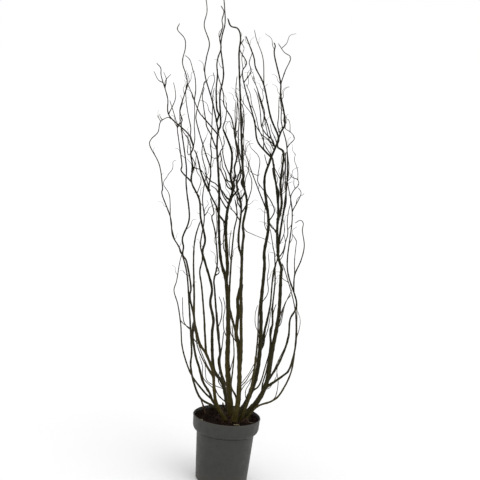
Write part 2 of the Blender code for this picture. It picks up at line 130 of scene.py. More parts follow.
STEMS = {
    "outer_left": main_stem(38, 12, -0.012, -0.16, 5.25, BROWN, [-8, 202, -40, 239, -85, 264,
        -110, 314, -125, 369, -125, 419, -135, 499, -145, 574, -160, 674, -185, 739, -210, 779,
        -220, 834, -250, 899, -250, 924, -265, 989, -295, 1039, -295, 1059, -275, 1084, -270,
        1114, -250, 1129, -240, 1124], [
        shoot(18, 9, 0.15, -200, 769, -220, 819, -230, 894, -250, 929, -240, 954)]),
    "left_upright": main_stem(42, 13, 0.01, 0.2, 6.25, BROWN, [-2, 202, -45, 239, -60, 264,
        -85, 299, -100, 339, -115, 374, -130, 434, -130, 489, -150, 554, -150, 589, -170, 664,
        -185, 684, -185, 709, -190, 739, -175, 799, -190, 879, -195, 914, -200, 964, -225,
        1079, -225, 1104, -235, 1134, -220, 1219, -240, 1279, -235, 1324, -240, 1354, -265,
        1379, -260, 1399], [
        shoot(32, 12, -0.1, -50, 249, -75, 264, -115, 309, -140, 349, -160, 409, -170, 474,
            -185, 534, -200, 579, -195, 609, -190, 669, -185, 699)]),
    "left_olive": main_stem(58, 18, -0.03, -0.24, 0.97, OLIVE, [-4, 204, -35, 259, -45, 304,
        -55, 369, -80, 424, -100, 454, -115, 499, -125, 544, -130, 609, -140, 729, -140, 789,
        -130, 839], [
        shoot(36, 14, 0.12, -80, 424, -90, 499, -95, 539, -110, 634, -120, 679, -115, 724,
            -125, 764, -120, 839, -130, 904, -125, 974)]),
    "left_thick": main_stem(60, 14, 0.024, 0.24, 1.97, BROWN, [6, 198, -20, 289, -55, 334, -70,
        439, -70, 484, -85, 539, -85, 584, -115, 664, -125, 694, -120, 734, -140, 799, -150,
        854, -180, 909, -180, 954, -190, 994, -185, 1019, -205, 1059, -270, 1109, -280, 1164,
        -305, 1229, -310, 1254, -325, 1269], [
        shoot(26, 11, -0.12, -180, 909, -215, 939, -215, 964, -235, 1054, -245, 1094, -270,
            1159),
        shoot(18, 9, 0.1, -295, 1194, -290, 1219, -275, 1239)]),
    "centre_left": main_stem(48, 18, 0.046, 0.2, 2.96, BROWN, [12, 199, -10, 264, -40, 349,
        -40, 384, -55, 459, -75, 574, -80, 609, -75, 664, -90, 754, -105, 804, -100, 819, -115,
        864], []),
    "centre": main_stem(92, 27, -0.006, -0.06, 3.96, OLIVE, [14, 204, 5, 264, -10, 359, -15,
        404, -20, 489, -30, 584, -40, 644, -40, 689, -55, 799, -55, 864, -45, 924, -55, 964,
        -55, 999, -60, 1044, -90, 1104], [
        shoot(30, 12, -0.14, -55, 819, -80, 849, -90, 874, -115, 919, -115, 979, -135, 1034,
            -165, 1114, -170, 1149, -155, 1229, -150, 1244),
        shoot(48, 15, 0.16, -40, 644, -60, 699, -70, 749, -80, 829, -85, 899, -95, 974, -105,
            1044, -105, 1089, -100, 1114, -110, 1194, -105, 1259, -120, 1334, -120, 1374, -115,
            1419, -130, 1514),
        shoot(26, 12, 0.05, -105, 1089, -130, 1174, -160, 1254, -160, 1304, -155, 1349, -175,
            1399, -170, 1444, -182, 1502),
        shoot(24, 11, 0.22, -105, 1079, -150, 1124, -170, 1144, -200, 1204, -215, 1229)]),
    "centre_right": main_stem(86, 22, -0.036, -0.1, 5.75, OLIVE, [24, 204, 30, 259, 30, 309,
        25, 379, 15, 454, 5, 494, 5, 559, 0, 599, 5, 649, 0, 729, -10, 759, -15, 799, -15, 884,
        -35, 944], [
        shoot(40, 18, 0.14, 5, 494, -15, 544, -25, 589, -30, 704, -30, 799, -25, 849, -35, 894),
        shoot(54, 20, -0.08, 25, 374, 25, 439, 10, 604, 0, 759, 0, 804, -5, 839, 0, 904, -15,
            964, -30, 1074, -45, 1199, -60, 1324, -60, 1374, -70, 1399, -90, 1404, -100, 1424),
        shoot(32, 14, 0.1, 30, 265, 20, 290, 5, 320, 5, 360, 5, 415, 0, 455, -10, 510)]),
    "right_upright": main_stem(78, 18, 0.026, 0.16, 0.47, BROWN, [34, 199, 55, 239, 65, 264,
        80, 324, 85, 394, 80, 504, 75, 549, 75, 669, 70, 719, 75, 809, 50, 934, 60, 999, 75,
        1049, 80, 1079, 50, 1139, 20, 1234, -10, 1284, -20, 1319, -50, 1379], [
        shoot(32, 15, -0.12, 65, 1014, 40, 1034, 15, 1064, 0, 1124, -35, 1214, -50, 1269, -40,
            1299, -65, 1339, -55, 1369),
        shoot(18, 10, 0.14, 20, 1234, 10, 1314, -15, 1369, -25, 1399),
        shoot(24, 11, -0.2, 70, 839, 30, 919, -10, 1004, -35, 1064),
        shoot(36, 14, 0.18, 85, 394, 90, 439, 105, 549, 105, 604, 115, 694),
        shoot(36, 12, 0.1, 85, 405, 95, 430, 95, 470, 100, 500, 105, 550, 105, 590, 105, 655,
            115, 690, 130, 720, 135, 750, 140, 775, 135, 805, 135, 840, 140, 870)]),
    "right_green": main_stem(48, 16, -0.022, -0.34, 1.47, OLIVE, [40, 200, 60, 274, 65, 319,
        70, 404, 70, 499, 65, 574, 65, 614], []),
    "right_thick": main_stem(84, 26, 0.004, -0.04, 2.46, BROWN, [46, 202, 75, 239, 95, 269,
        115, 329, 120, 414, 130, 544, 125, 674, 125, 694, 110, 734, 100, 809, 95, 889, 65,
        1029], [
        shoot(38, 16, 0.14, 110, 744, 110, 809, 115, 889, 115, 979, 105, 1064, 90, 1109),
        shoot(42, 18, -0.14, 100, 844, 105, 894, 95, 959, 95, 1049, 75, 1069, 80, 1109, 90,
            1144, 70, 1219, 65, 1259, 40, 1334, 40, 1359, 35, 1369),
        shoot(44, 14, -0.2, 115, 304, 160, 354, 180, 384, 190, 464, 185, 544, 180, 594),
        shoot(42, 12, 0.1, 120, 395, 115, 450, 110, 490, 115, 510, 110, 560, 110, 615, 110,
            645, 105, 695, 100, 730, 95, 745, 90, 765, 85, 785, 80, 805)]),
    "right_wide": main_stem(36, 13, -0.018, 0.02, 3.46, OLIVE, [56, 198, 90, 249, 135, 274,
        160, 299, 185, 369, 190, 449, 185, 534, 170, 599, 135, 689, 125, 709], []),
    "right_arch": main_stem(44, 15, 0.04, 0.06, 5.45, BROWN, [54, 196, 90, 254, 120, 319, 150,
        379, 170, 454, 170, 519, 185, 574, 145, 684, 145, 844, 120, 949], [
        shoot(26, 12, -0.1, 170, 609, 170, 664, 185, 709, 190, 759, 180, 804, 180, 829, 170,
            839, 155, 829),
        shoot(20, 10, 0.12, 140, 859, 165, 914, 155, 934)]),
    "right_inner": main_stem(38, 15, 0.046, 0.3, 5.45, OLIVE, [36, 201, 70, 264, 95, 289, 110,
        354, 120, 409], []),
}

# The finer twigs of each stem.
TWIGS = {
    "outer_left": [
        shoot(13, 8, 0.2, -268, 1116, -276, 1124, -282, 1132),
        shoot(13, 8, -0.2, -264, 1120, -272, 1128, -274, 1136)],
    "left_upright": [
        shoot(18, 11, -0.2, -130, 450, -150, 464, -162, 484, -168, 514, -172, 560),
        shoot(16, 10, 0.2, -172, 486, -160, 474, -140, 462),
        shoot(14, 8, 0.3, -226, 1180, -220, 1202, -216, 1226, -224, 1250)],
    "left_olive": [
        shoot(16, 10, 0.2, -120, 850, -114, 860, -108, 878),
        shoot(26, 14, -0.15, -50, 348, -72, 386, -94, 422, -108, 460, -112, 484, -120, 520),
        shoot(18, 11, 0.25, -100, 452, -116, 466, -128, 488, -128, 520),
        shoot(20, 11, 0.2, -42, 284, -50, 322, -56, 352, -76, 388, -92, 416, -106, 446, -116,
            476, -126, 500),
        shoot(14, 9, -0.1, -58, 376, -72, 414, -84, 440, -88, 480, -94, 516),
        shoot(16, 10, 0.2, -46, 312, -82, 340, -88, 382, -100, 410)],
    "left_thick": [
        shoot(14, 8, 0.25, -290, 1194, -288, 1220, -300, 1244),
        shoot(16, 8, -0.2, -298, 1210, -314, 1218, -330, 1244),
        shoot(17, 10, 0.08, -272, 1112, -256, 1158, -258, 1184, -266, 1214),
        shoot(16, 10, -0.25, -188, 1006, -196, 992, -202, 1004, -202, 1030, -206, 1052),
        shoot(20, 11, 0.08, -186, 1022, -196, 1046, -198, 1076, -208, 1108, -216, 1140, -224,
            1176, -226, 1210),
        shoot(17, 11, -0.1, -180, 956, -170, 952, -156, 950, -146, 940, -136, 924),
        shoot(17, 11, 0.04, -184, 1016, -182, 1046, -188, 1086, -190, 1124, -196, 1164, -206,
            1188),
        shoot(14, 8, -0.3, -240, 1076, -230, 1104, -234, 1130, -230, 1152),
        shoot(17, 10, 0.15, -182, 932, -174, 966, -190, 994, -198, 1032, -226, 1070, -238,
            1112, -232, 1154),
        shoot(15, 9, -0.2, -160, 872, -150, 916, -166, 944, -172, 980, -170, 1008)],
    "centre_left": [
        shoot(21, 14, -0.2, -78, 622, -66, 634, -76, 656),
        shoot(20, 13, 0.1, -54, 458, -46, 488, -48, 532, -60, 556),
        shoot(16, 11, 0.1, -86, 736, -86, 772, -90, 802, -96, 832),
        shoot(22, 13, 0.15, 2, 226, -32, 250, -48, 280, -56, 310, -60, 354, -64, 396, -70, 446,
            -72, 488, -82, 514),
        shoot(18, 10, -0.1, -10, 264, -36, 294, -36, 324, -38, 370, -44, 402, -46, 442, -54,
            476, -60, 514),
        shoot(15, 10, -0.2, -12, 270, -68, 290, -80, 318, -84, 362)],
    "centre": [
        shoot(29, 14, -0.2, -50, 894, -62, 900, -72, 914, -86, 930, -98, 942, -112, 948, -124,
            960, -132, 972),
        shoot(23, 13, 0.2, -54, 864, -66, 876, -78, 892, -86, 908, -98, 922, -112, 930),
        shoot(23, 13, -0.3, -46, 922, -62, 934, -70, 954, -82, 976, -94, 994, -98, 1020),
        shoot(21, 11, 0.3, -50, 946, -64, 952, -72, 972, -82, 988, -86, 1008, -92, 1032),
        shoot(22, 11, 0.1, -54, 964, -68, 984, -76, 1002, -84, 1030, -86, 1046, -96, 1072,
            -102, 1086),
        shoot(31, 13, 0.25, -46, 934, -42, 966, -46, 988, -42, 1018, -42, 1048, -52, 1076, -58,
            1100, -68, 1132, -84, 1154, -96, 1174, -98, 1198, -106, 1220, -116, 1242, -124,
            1266),
        shoot(36, 17, -0.1, -114, 918, -126, 936, -136, 956, -146, 978, -152, 998, -160, 1024,
            -168, 1038),
        shoot(20, 11, 0.2, -116, 930, -126, 954, -130, 976, -140, 1002, -146, 1026, -146, 1050,
            -138, 1074),
        shoot(22, 13, -0.25, -104, 1034, -116, 1056, -126, 1078, -140, 1102, -144, 1120, -150,
            1142, -156, 1170, -160, 1196, -156, 1218),
        shoot(20, 11, 0.15, -118, 988, -116, 1026, -122, 1054, -122, 1090, -124, 1128, -126,
            1162, -128, 1198, -126, 1222),
        shoot(29, 14, -0.15, -114, 1118, -108, 1138, -116, 1158, -122, 1214, -122, 1258, -126,
            1288, -124, 1312, -118, 1338, -124, 1368, -118, 1400, -122, 1420, -118, 1444, -128,
            1460),
        shoot(18, 10, 0.2, -186, 1176, -184, 1206, -190, 1242, -198, 1264, -210, 1294, -226,
            1306),
        shoot(18, 11, -0.3, -98, 1014, -90, 1042, -82, 1062, -86, 1088),
        shoot(17, 10, 0.3, -126, 1176, -134, 1198, -132, 1220, -128, 1244, -134, 1266),
        shoot(20, 11, 0.1, -44, 722, -56, 744, -60, 776, -60, 802, -66, 830),
        shoot(17, 11, -0.1, -18, 458, -32, 482, -38, 522, -36, 558, -44, 594),
        shoot(24, 10, -0.1, -82, 1088, -90, 1108, -86, 1128, -84, 1152, -86, 1184),
        shoot(24, 16, 0.2, 0, 292, -24, 340, -36, 378, -36, 404, -34, 442, -34, 472),
        shoot(17, 11, -0.3, -8, 340, 4, 408, 0, 458, -6, 494),
        shoot(27, 11, 0.3, -50, 894, -40, 910, -34, 918, -32, 932, -34, 944, -28, 958, -26,
            968, -26, 982, -30, 998, -36, 1020, -40, 1042, -50, 1066, -56, 1086, -56, 1120,
            -60, 1152, -60, 1184),
        shoot(22, 13, -0.3, -46, 916, -40, 934, -44, 954, -38, 968, -44, 978, -46, 996, -40,
            1024, -44, 1052, -50, 1078, -46, 1110),
        shoot(18, 12, 0.2, -46, 934, -46, 950, -36, 956, -34, 972),
        shoot(19, 12, 0.25, -52, 882, -66, 894, -78, 914, -84, 936, -90, 950, -90, 966, -98,
            996, -104, 1040, -104, 1080),
        shoot(15, 9, 0.15, -46, 922, -72, 958, -86, 982, -90, 1006)],
    "centre_right": [
        shoot(13, 10, -0.3, 30, 322, 40, 340, 56, 368, 68, 406, 72, 418),
        shoot(13, 10, 0.3, 30, 298, 36, 308, 46, 328, 66, 350),
        shoot(17, 11, 0.2, 0, 900, 6, 924, 10, 946, 8, 970, 0, 988, -6, 1004),
        shoot(26, 20, -0.1, -20, 906, -12, 918, -8, 932),
        shoot(23, 17, 0.1, -14, 864, -6, 876, 0, 892),
        shoot(21, 13, -0.2, -14, 840, -26, 854, -34, 864, -48, 874),
        shoot(21, 13, 0.2, -14, 876, -26, 894, -30, 912, -28, 932),
        shoot(23, 13, 0.1, -28, 932, -36, 950, -32, 972, -28, 994, -34, 1020, -40, 1042, -48,
            1068, -52, 1106, -52, 1142, -54, 1172, -54, 1200),
        shoot(20, 11, -0.2, -22, 1016, -36, 1056, -42, 1102, -44, 1150, -52, 1196, -60, 1228,
            -60, 1268),
        shoot(20, 11, 0.25, -30, 1080, -28, 1114, -30, 1148, -34, 1172, -42, 1190),
        shoot(12, 8, 0.15, -4, 836, 6, 818, 24, 810, 46, 802, 64, 796, 82, 784),
        shoot(18, 13, -0.2, 14, 454, -10, 492, -18, 528, -18, 570),
        shoot(13, 8, 0.3, -52, 1258, -46, 1286, -52, 1318, -48, 1346),
        shoot(16, 10, -0.3, -30, 706, -38, 740, -40, 778, -38, 810),
        shoot(40, 11, 0.1, -12, 946, -20, 960, -16, 980, -20, 998, -24, 1038, -28, 1058, -34,
            1102, -36, 1144, -44, 1184, -48, 1220),
        shoot(26, 14, -0.25, -16, 888, -24, 906, -36, 926, -42, 938, -42, 956, -48, 972),
        shoot(15, 9, 0.2, -10, 942, -10, 970, -4, 1000, -8, 1026),
        shoot(14, 9, -0.2, -26, 854, -28, 874, -28, 890, -26, 906),
        shoot(15, 9, 0.3, -22, 1016, -24, 1038, -24, 1060, -26, 1090, -32, 1122, -34, 1158),
        shoot(23, 13, 0.2, 26, 386, 28, 414, 26, 442, 20, 486, 18, 520, 18, 558, 12, 600, 12,
            636),
        shoot(17, 10, 0.25, 30, 316, 48, 338, 58, 356, 72, 384, 78, 422)],
    "right_upright": [
        shoot(21, 11, 0.1, 74, 816, 84, 830, 90, 848, 80, 870, 60, 898, 32, 928, 28, 946, 30,
            994, 22, 1014, 8, 1026),
        shoot(18, 10, -0.15, 74, 1046, 56, 1064, 38, 1076, 28, 1082, 8, 1106, -4, 1134, -18,
            1152, -36, 1172, -46, 1186),
        shoot(23, 11, 0.2, 70, 1050, 62, 1068, 46, 1080, 34, 1092, 24, 1108, 20, 1130, 14,
            1162, 2, 1200, -10, 1220),
        shoot(23, 11, -0.2, 68, 1056, 58, 1074, 50, 1096, 42, 1116, 32, 1138, 20, 1172, 14,
            1188, 0, 1224, -18, 1254),
        shoot(16, 10, 0.3, 78, 1058, 68, 1078, 58, 1094, 52, 1114),
        shoot(18, 10, -0.1, 26, 1106, 30, 1130, 30, 1152, 22, 1172, 12, 1196, -4, 1230, -14,
            1260),
        shoot(17, 11, 0.2, 38, 1036, 36, 1060, 32, 1086, 26, 1108),
        shoot(17, 11, -0.3, 56, 984, 48, 1004, 42, 1022),
        shoot(13, 10, 0.2, 76, 780, 64, 800, 60, 830, 60, 856),
        shoot(18, 10, 0.25, -42, 1238, -24, 1272, -32, 1300, -26, 1332, -38, 1356),
        shoot(13, 10, -0.3, 90, 444, 66, 482, 60, 520, 64, 556),
        shoot(20, 12, 0.1, 66, 266, 78, 300, 86, 330, 88, 368, 88, 408, 94, 430, 104, 470, 108,
            506, 110, 540),
        shoot(14, 9, 0.2, 58, 246, 52, 274, 64, 306, 72, 340, 72, 382),
        shoot(18, 10, 0.1, 66, 1018, 44, 1044, 30, 1074, 16, 1100, 4, 1136, -12, 1172, -20,
            1202, -36, 1232),
        shoot(17, 10, -0.1, 70, 1034, 52, 1070, 38, 1110, 26, 1152, 8, 1196, 0, 1224),
        shoot(16, 10, 0.2, 74, 554, 94, 590, 88, 634, 90, 670, 84, 706),
        shoot(14, 10, -0.1, 90, 414, 82, 442, 78, 480, 80, 516, 72, 550)],
    "right_thick": [
        shoot(29, 20, 0.2, 94, 894, 94, 924, 86, 944, 74, 974, 68, 996),
        shoot(26, 14, -0.1, 114, 858, 118, 906, 108, 974, 106, 1012, 100, 1052),
        shoot(20, 11, 0.3, 116, 952, 118, 976, 118, 1002, 114, 1022, 108, 1052),
        shoot(20, 11, -0.2, 100, 922, 102, 952, 102, 984, 104, 1008, 100, 1032, 102, 1056),
        shoot(16, 10, 0.2, 106, 1060, 114, 1072, 126, 1086, 122, 1098, 110, 1108, 98, 1114, 92,
            1120),
        shoot(12, 8, -0.2, 110, 1108, 108, 1132, 102, 1146),
        shoot(18, 11, 0.2, 80, 1106, 70, 1130, 70, 1158, 68, 1186, 66, 1216),
        shoot(18, 11, -0.25, 86, 1122, 78, 1148, 76, 1178, 70, 1206, 66, 1230),
        shoot(18, 10, 0.15, 66, 1252, 76, 1292, 88, 1330, 68, 1344, 48, 1368),
        shoot(26, 17, 0.1, 100, 800, 94, 810, 82, 818, 74, 832),
        shoot(17, 11, 0.3, 94, 970, 82, 988, 74, 1000, 72, 1012),
        shoot(17, 11, 0.2, 108, 762, 120, 796, 122, 818, 116, 842),
        shoot(24, 14, -0.15, 102, 286, 102, 318, 108, 360, 112, 398, 112, 440, 112, 480, 114,
            524, 112, 560, 118, 588),
        shoot(16, 10, 0.1, 106, 296, 112, 320, 126, 344, 136, 376, 148, 406, 160, 442, 166,
            478),
        shoot(13, 9, -0.1, 96, 270, 104, 300, 124, 310, 134, 328, 142, 354, 142, 384, 150, 418),
        shoot(20, 12, 0.15, 126, 486, 136, 528, 144, 574, 156, 604, 160, 620),
        shoot(15, 10, -0.15, 128, 510, 136, 558, 148, 596, 160, 620),
        shoot(14, 9, 0.2, 116, 718, 124, 730, 130, 766, 122, 798),
        shoot(14, 9, -0.2, 100, 928, 96, 964, 100, 994, 90, 1028, 92, 1056)],
    "right_wide": [
        shoot(16, 10, 0.2, 136, 274, 146, 290, 150, 328, 142, 366),
        shoot(14, 8, -0.2, 190, 474, 196, 512, 196, 544, 186, 570)],
    "right_arch": [
        shoot(18, 11, -0.2, 140, 874, 134, 906, 142, 930, 152, 942, 154, 952, 148, 962, 134,
            966, 124, 974),
        shoot(12, 8, 0.2, 148, 960, 148, 984, 142, 1002, 134, 1020, 136, 1038),
        shoot(17, 11, 0.25, 170, 662, 166, 706, 166, 752, 166, 766, 152, 784),
        shoot(18, 11, 0.2, 124, 328, 134, 464, 144, 498, 152, 552, 170, 604)],
}

STUBS = {
    "stub_back": ((-0.012, 0.068, 0.174), (-0.016, 0.070, 0.226), 0.0034),
    "stub_left": ((-0.060, 0.020, 0.176), (-0.086, 0.022, 0.246), 0.0030),
}
CHIPS = {
    "bark_chip_front": (0.032, -0.064, 0.020, 0.007, -12.0),
    "bark_chip_left": (-0.079, -0.044, 0.015, 0.007, -40.0),
    "bark_chip_right": (0.077, -0.034, 0.011, 0.006, -35.0),
}


SHOOTS = []                    # each shoot's line of (centre, radius), kept for its buds


# --- small helpers ----------------------------------------------------------------------
def linear(code, alpha=1.0):
    """An sRGB hex colour as the linear numbers that the shaders take."""
    parts = [int(code[i:i + 2], 16) / 255 for i in (0, 2, 4)]
    return (*(c / 12.92 if c <= 0.04045 else ((c + 0.055) / 1.055) ** 2.4 for c in parts),
        alpha)


def feed(made, inputs):
    """Sets a node's inputs, each to a value, a socket, or another node's first live output."""
    for key, value in inputs.items():
        if isinstance(value, bpy.types.Node):
            value = next(out for out in value.outputs if out.enabled)
        if isinstance(value, bpy.types.NodeSocket):
            made.id_data.links.new(value, made.inputs[key])
        else:
            made.inputs[key].default_value = value


def node(tree, kind, inputs=None, stops=(), **settings):
    """Adds one node with its settings and inputs; stops are a colour band's (position,
    colour) pairs."""
    made = tree.nodes.new(kind)
    for key, value in settings.items():
        setattr(made, key, value)
    feed(made, inputs or {})
    for i, (position, colour) in enumerate(stops):
        band = made.color_ramp.elements
        element = band[i] if i < len(band) else band.new(position)
        element.position, element.color = position, colour
    return made


def new_material(name):
    """A new node material; returns it, what adds a node to it, and its Principled shader."""
    made = bpy.data.materials.new(name)
    made.use_nodes = True
    made.node_tree.nodes.clear()
    add = partial(node, made.node_tree)
    shader = add("ShaderNodeBsdfPrincipled")
    add("ShaderNodeOutputMaterial", {"Surface": shader})
    return made, add, shader


def place(name, mesh, finish=None):
    made = bpy.data.objects.new(name, mesh)
    bpy.context.scene.collection.objects.link(made)
    if finish:
        mesh.materials.clear()
        mesh.materials.append(finish)
    return made


def baked(obj, name):
    """The object as its modifiers leave it, in a new plain object; the old one is removed."""
    graph = bpy.context.evaluated_depsgraph_get()
    mesh = bpy.data.meshes.new_from_object(obj.evaluated_get(graph))
    mesh.name = name
    bpy.data.objects.remove(obj)
    return place(name, mesh)


def settle(obj, node_name):
    """The piece rides on the shrub's one body and stands for its CAD node."""
    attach(obj, "root")
    if node_name:
        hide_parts(node_name)


# --- routes -----------------------------------------------------------------------------
def curl(z, turn):
    """Depth of the corkscrew winding at height z."""
    grown = min(1.0, max(0.0, (z - COMPOST_TOP) / CURL_START))
    return CURL_RADIUS * grown * math.sin(2 * math.pi * z / CURL_PITCH + turn)


def stem_depth(stem, z):
    """How far back a stem is at height z."""
    risen = max(0.0, (z - COMPOST_TOP) / (PLANT_TOP - COMPOST_TOP))
    return stem.depth + stem.lean * risen ** LEAN_POWER + curl(z, stem.turn)


def fork_depth(stem, fork, joint, z):
    """How far back a fork that parts at `joint` is at height z."""
    along = stem_depth(stem, z) - stem_depth(stem, joint.z)
    return joint.y + along + fork.spread * max(0.0, z - joint.z)


def smooth_route(points, step):
    """Points every `step` along a Catmull-Rom curve through the given ones."""
    ends = [points[0] * 2 - points[1], *points, points[-1] * 2 - points[-2]]
    fine = []
    for a, b, c, d in zip(ends, ends[1:], ends[2:], ends[3:]):
        pieces = max(2, round((c - b).length / step * 4))
        for i in range(pieces):
            t = i / pieces
            fine.append(0.5 * (2 * b + (c - a) * t + (2 * a - 5 * b + 4 * c - d) * t * t
                + (3 * b - 3 * c + d - a) * t ** 3))
    fine.append(points[-1])
    length = sum((q - p).length for p, q in zip(fine, fine[1:]))
    count = max(3, round(length / step))
    route, travelled, wanted = [fine[0]], 0.0, length / count
    for p, q in zip(fine, fine[1:]):
        run = (q - p).length
        while travelled + run >= wanted and len(route) < count:
            route.append(p.lerp(q, (wanted - travelled) / run))
            wanted += length / count
        travelled += run
    return route + [fine[-1]]


def stem_route(stem, step=RING_STEP):
    points = [Vector((x, stem_depth(stem, z), z)) for x, z in stem.points]
    return smooth_route(points, step)


def fork_routes(stem, step=RING_STEP):
    """Each fork's route. It starts on the nearest point of the wood that is there already."""
    wood = stem_route(stem, step / 4)
    routes = []
    for fork in stem.forks:
        (x, z), rest = fork.points[0], fork.points[1:]
        joint = min(wood, key=lambda p: math.hypot(p.x - x, p.z - z))
        points = [joint] + [Vector((x, fork_depth(stem, fork, joint, z), z)) for x, z in rest]
        routes.append(smooth_route(points, step))
        wood = wood + smooth_route(points, step / 4)
    return routes


def twig_routes(stem, twigs, wood, step):
    """The twigs' routes, each from the nearest wood that is there already."""
    routes = []
    for twig in twigs:
        (x, z), rest = twig.points[0], twig.points[1:]
        joint = min(wood, key=lambda p: math.hypot(p.x - x, p.z - z))
        points = [joint]
        for x, z in rest:
            along = stem_depth(stem, z) - stem_depth(stem, joint.z)
            points.append(Vector((x, joint.y + along + twig.spread * abs(z - joint.z), z)))
        routes.append(smooth_route(points, step))
        wood.extend(smooth_route(points, TWIG_STEP))
    return routes


# --- wood -------------------------------------------------------------------------------
class Wood:
    """The mesh of one stem while it is being wound out of rings.

    grain is each point's place in the stem as if it were straight, so that bark patterns
    run along the wood; youth goes from 0 in old thick wood to 1 at a twig's tip.
    """

    def __init__(self):
        self.points, self.faces, self.grain, self.youth, self.lines = [], [], [], [], []

    def branch(self, route, foot, tip, sides, luck, flare=0.0, knots=0.2):
        """Winds one tapering branch along the route, closed at both ends."""
        tangents = [(b - a).normalized() for a, b in zip(route, route[1:])]
        tangents.append(tangents[-1])
        side = tangents[0].cross(Vector((0.3, -1.0, 0.1))).normalized()
        last, travelled, offset = len(route) - 1, 0.0, luck.uniform(0, 40)
        swellings, at = [], luck.uniform(0.02, 0.04)
        while at < last * RING_STEP:
            swellings.append((at, luck.uniform(0.5, 1.0) * knots))
            at += luck.uniform(0.024, 0.046)
        first = len(self.points)
        line = []
        for i, centre in enumerate(route):
            if i:
                travelled += (centre - route[i - 1]).length
                turn = tangents[i - 1].rotation_difference(tangents[i])
                side = (turn @ side).normalized()
            radius = foot + (tip - foot) * (i / last) ** 0.8
            line.append((centre, radius))
            for s, size in swellings:
                near = (travelled - s) / (0.0016 + radius * 0.7)
                if abs(near) < 3:
                    radius *= 1 + size * math.exp(-near * near)
            radius *= 1 + flare * math.exp(-travelled / (foot * 2.2))
            if i == last:
                radius *= 0.55
            other = tangents[i].cross(side)
            for k in range(sides):
                angle = 2 * math.pi * k / sides
                ray = side * math.cos(angle) + other * math.sin(angle)
                rough = noise.noise(Vector((math.cos(angle) * 1.3, math.sin(angle) * 1.3,
                    travelled * 70 + offset)))
                self.points.append(centre + ray * radius * (1 + 0.13 * rough))
                self.grain.append((radius * math.cos(angle), radius * math.sin(angle),
                    travelled + offset))
                self.youth.append(min(1.0, max(0.0, 1 - (radius - 0.0008) / 0.0062)))
        for i in range(last):
            for k in range(sides):
                a, b = first + i * sides + k, first + i * sides + (k + 1) % sides
                self.faces.append((a, b, b + sides, a + sides))
        self.cap(route[0], first, sides, False)
        self.cap(route[-1] + tangents[-1] * tip * 0.6, first + last * sides, sides, True)
        self.lines.append(line)

    def cap(self, centre, first, sides, outward):
        """Closes a ring to one point."""
        self.points.append(centre)
        self.grain.append(self.grain[first])
        self.youth.append(self.youth[first])
        for k in range(sides):
            a, b = first + k, first + (k + 1) % sides
            self.faces.append((a, b, len(self.points) - 1) if outward
                else (b, a, len(self.points) - 1))

    def mesh(self, name):
        made = bpy.data.meshes.new(name)
        made.from_pydata([tuple(p) for p in self.points], [], self.faces)
        grain = made.attributes.new("grain", "FLOAT_VECTOR", "POINT")
        grain.data.foreach_set("vector", [c for v in self.grain for c in v])
        youth = made.attributes.new("youth", "FLOAT", "POINT")
        youth.data.foreach_set("value", self.youth)
        made.shade_smooth()
        return made


def stem_wood(key, stem, luck):
    """A whole stem: its main shoot, its forks and its twigs."""
    wood = Wood()
    wood.branch(stem_route(stem, RING_STEP), stem.foot, stem.tip, 12, luck, flare=0.45)
    there = stem_route(stem, TWIG_STEP)
    for fork, route in zip(stem.forks, fork_routes(stem, RING_STEP)):
        wood.branch(route, fork.foot, fork.tip, 10, luck, flare=0.35)
    for route in fork_routes(stem, TWIG_STEP):
        there.extend(route)
    twigs = TWIGS.get(key, [])
    for twig, route in zip(twigs, twig_routes(stem, twigs, there, RING_STEP)):
        wood.branch(route, twig.foot, twig.tip, 7, luck, flare=0.5, knots=0.3)
    return wood


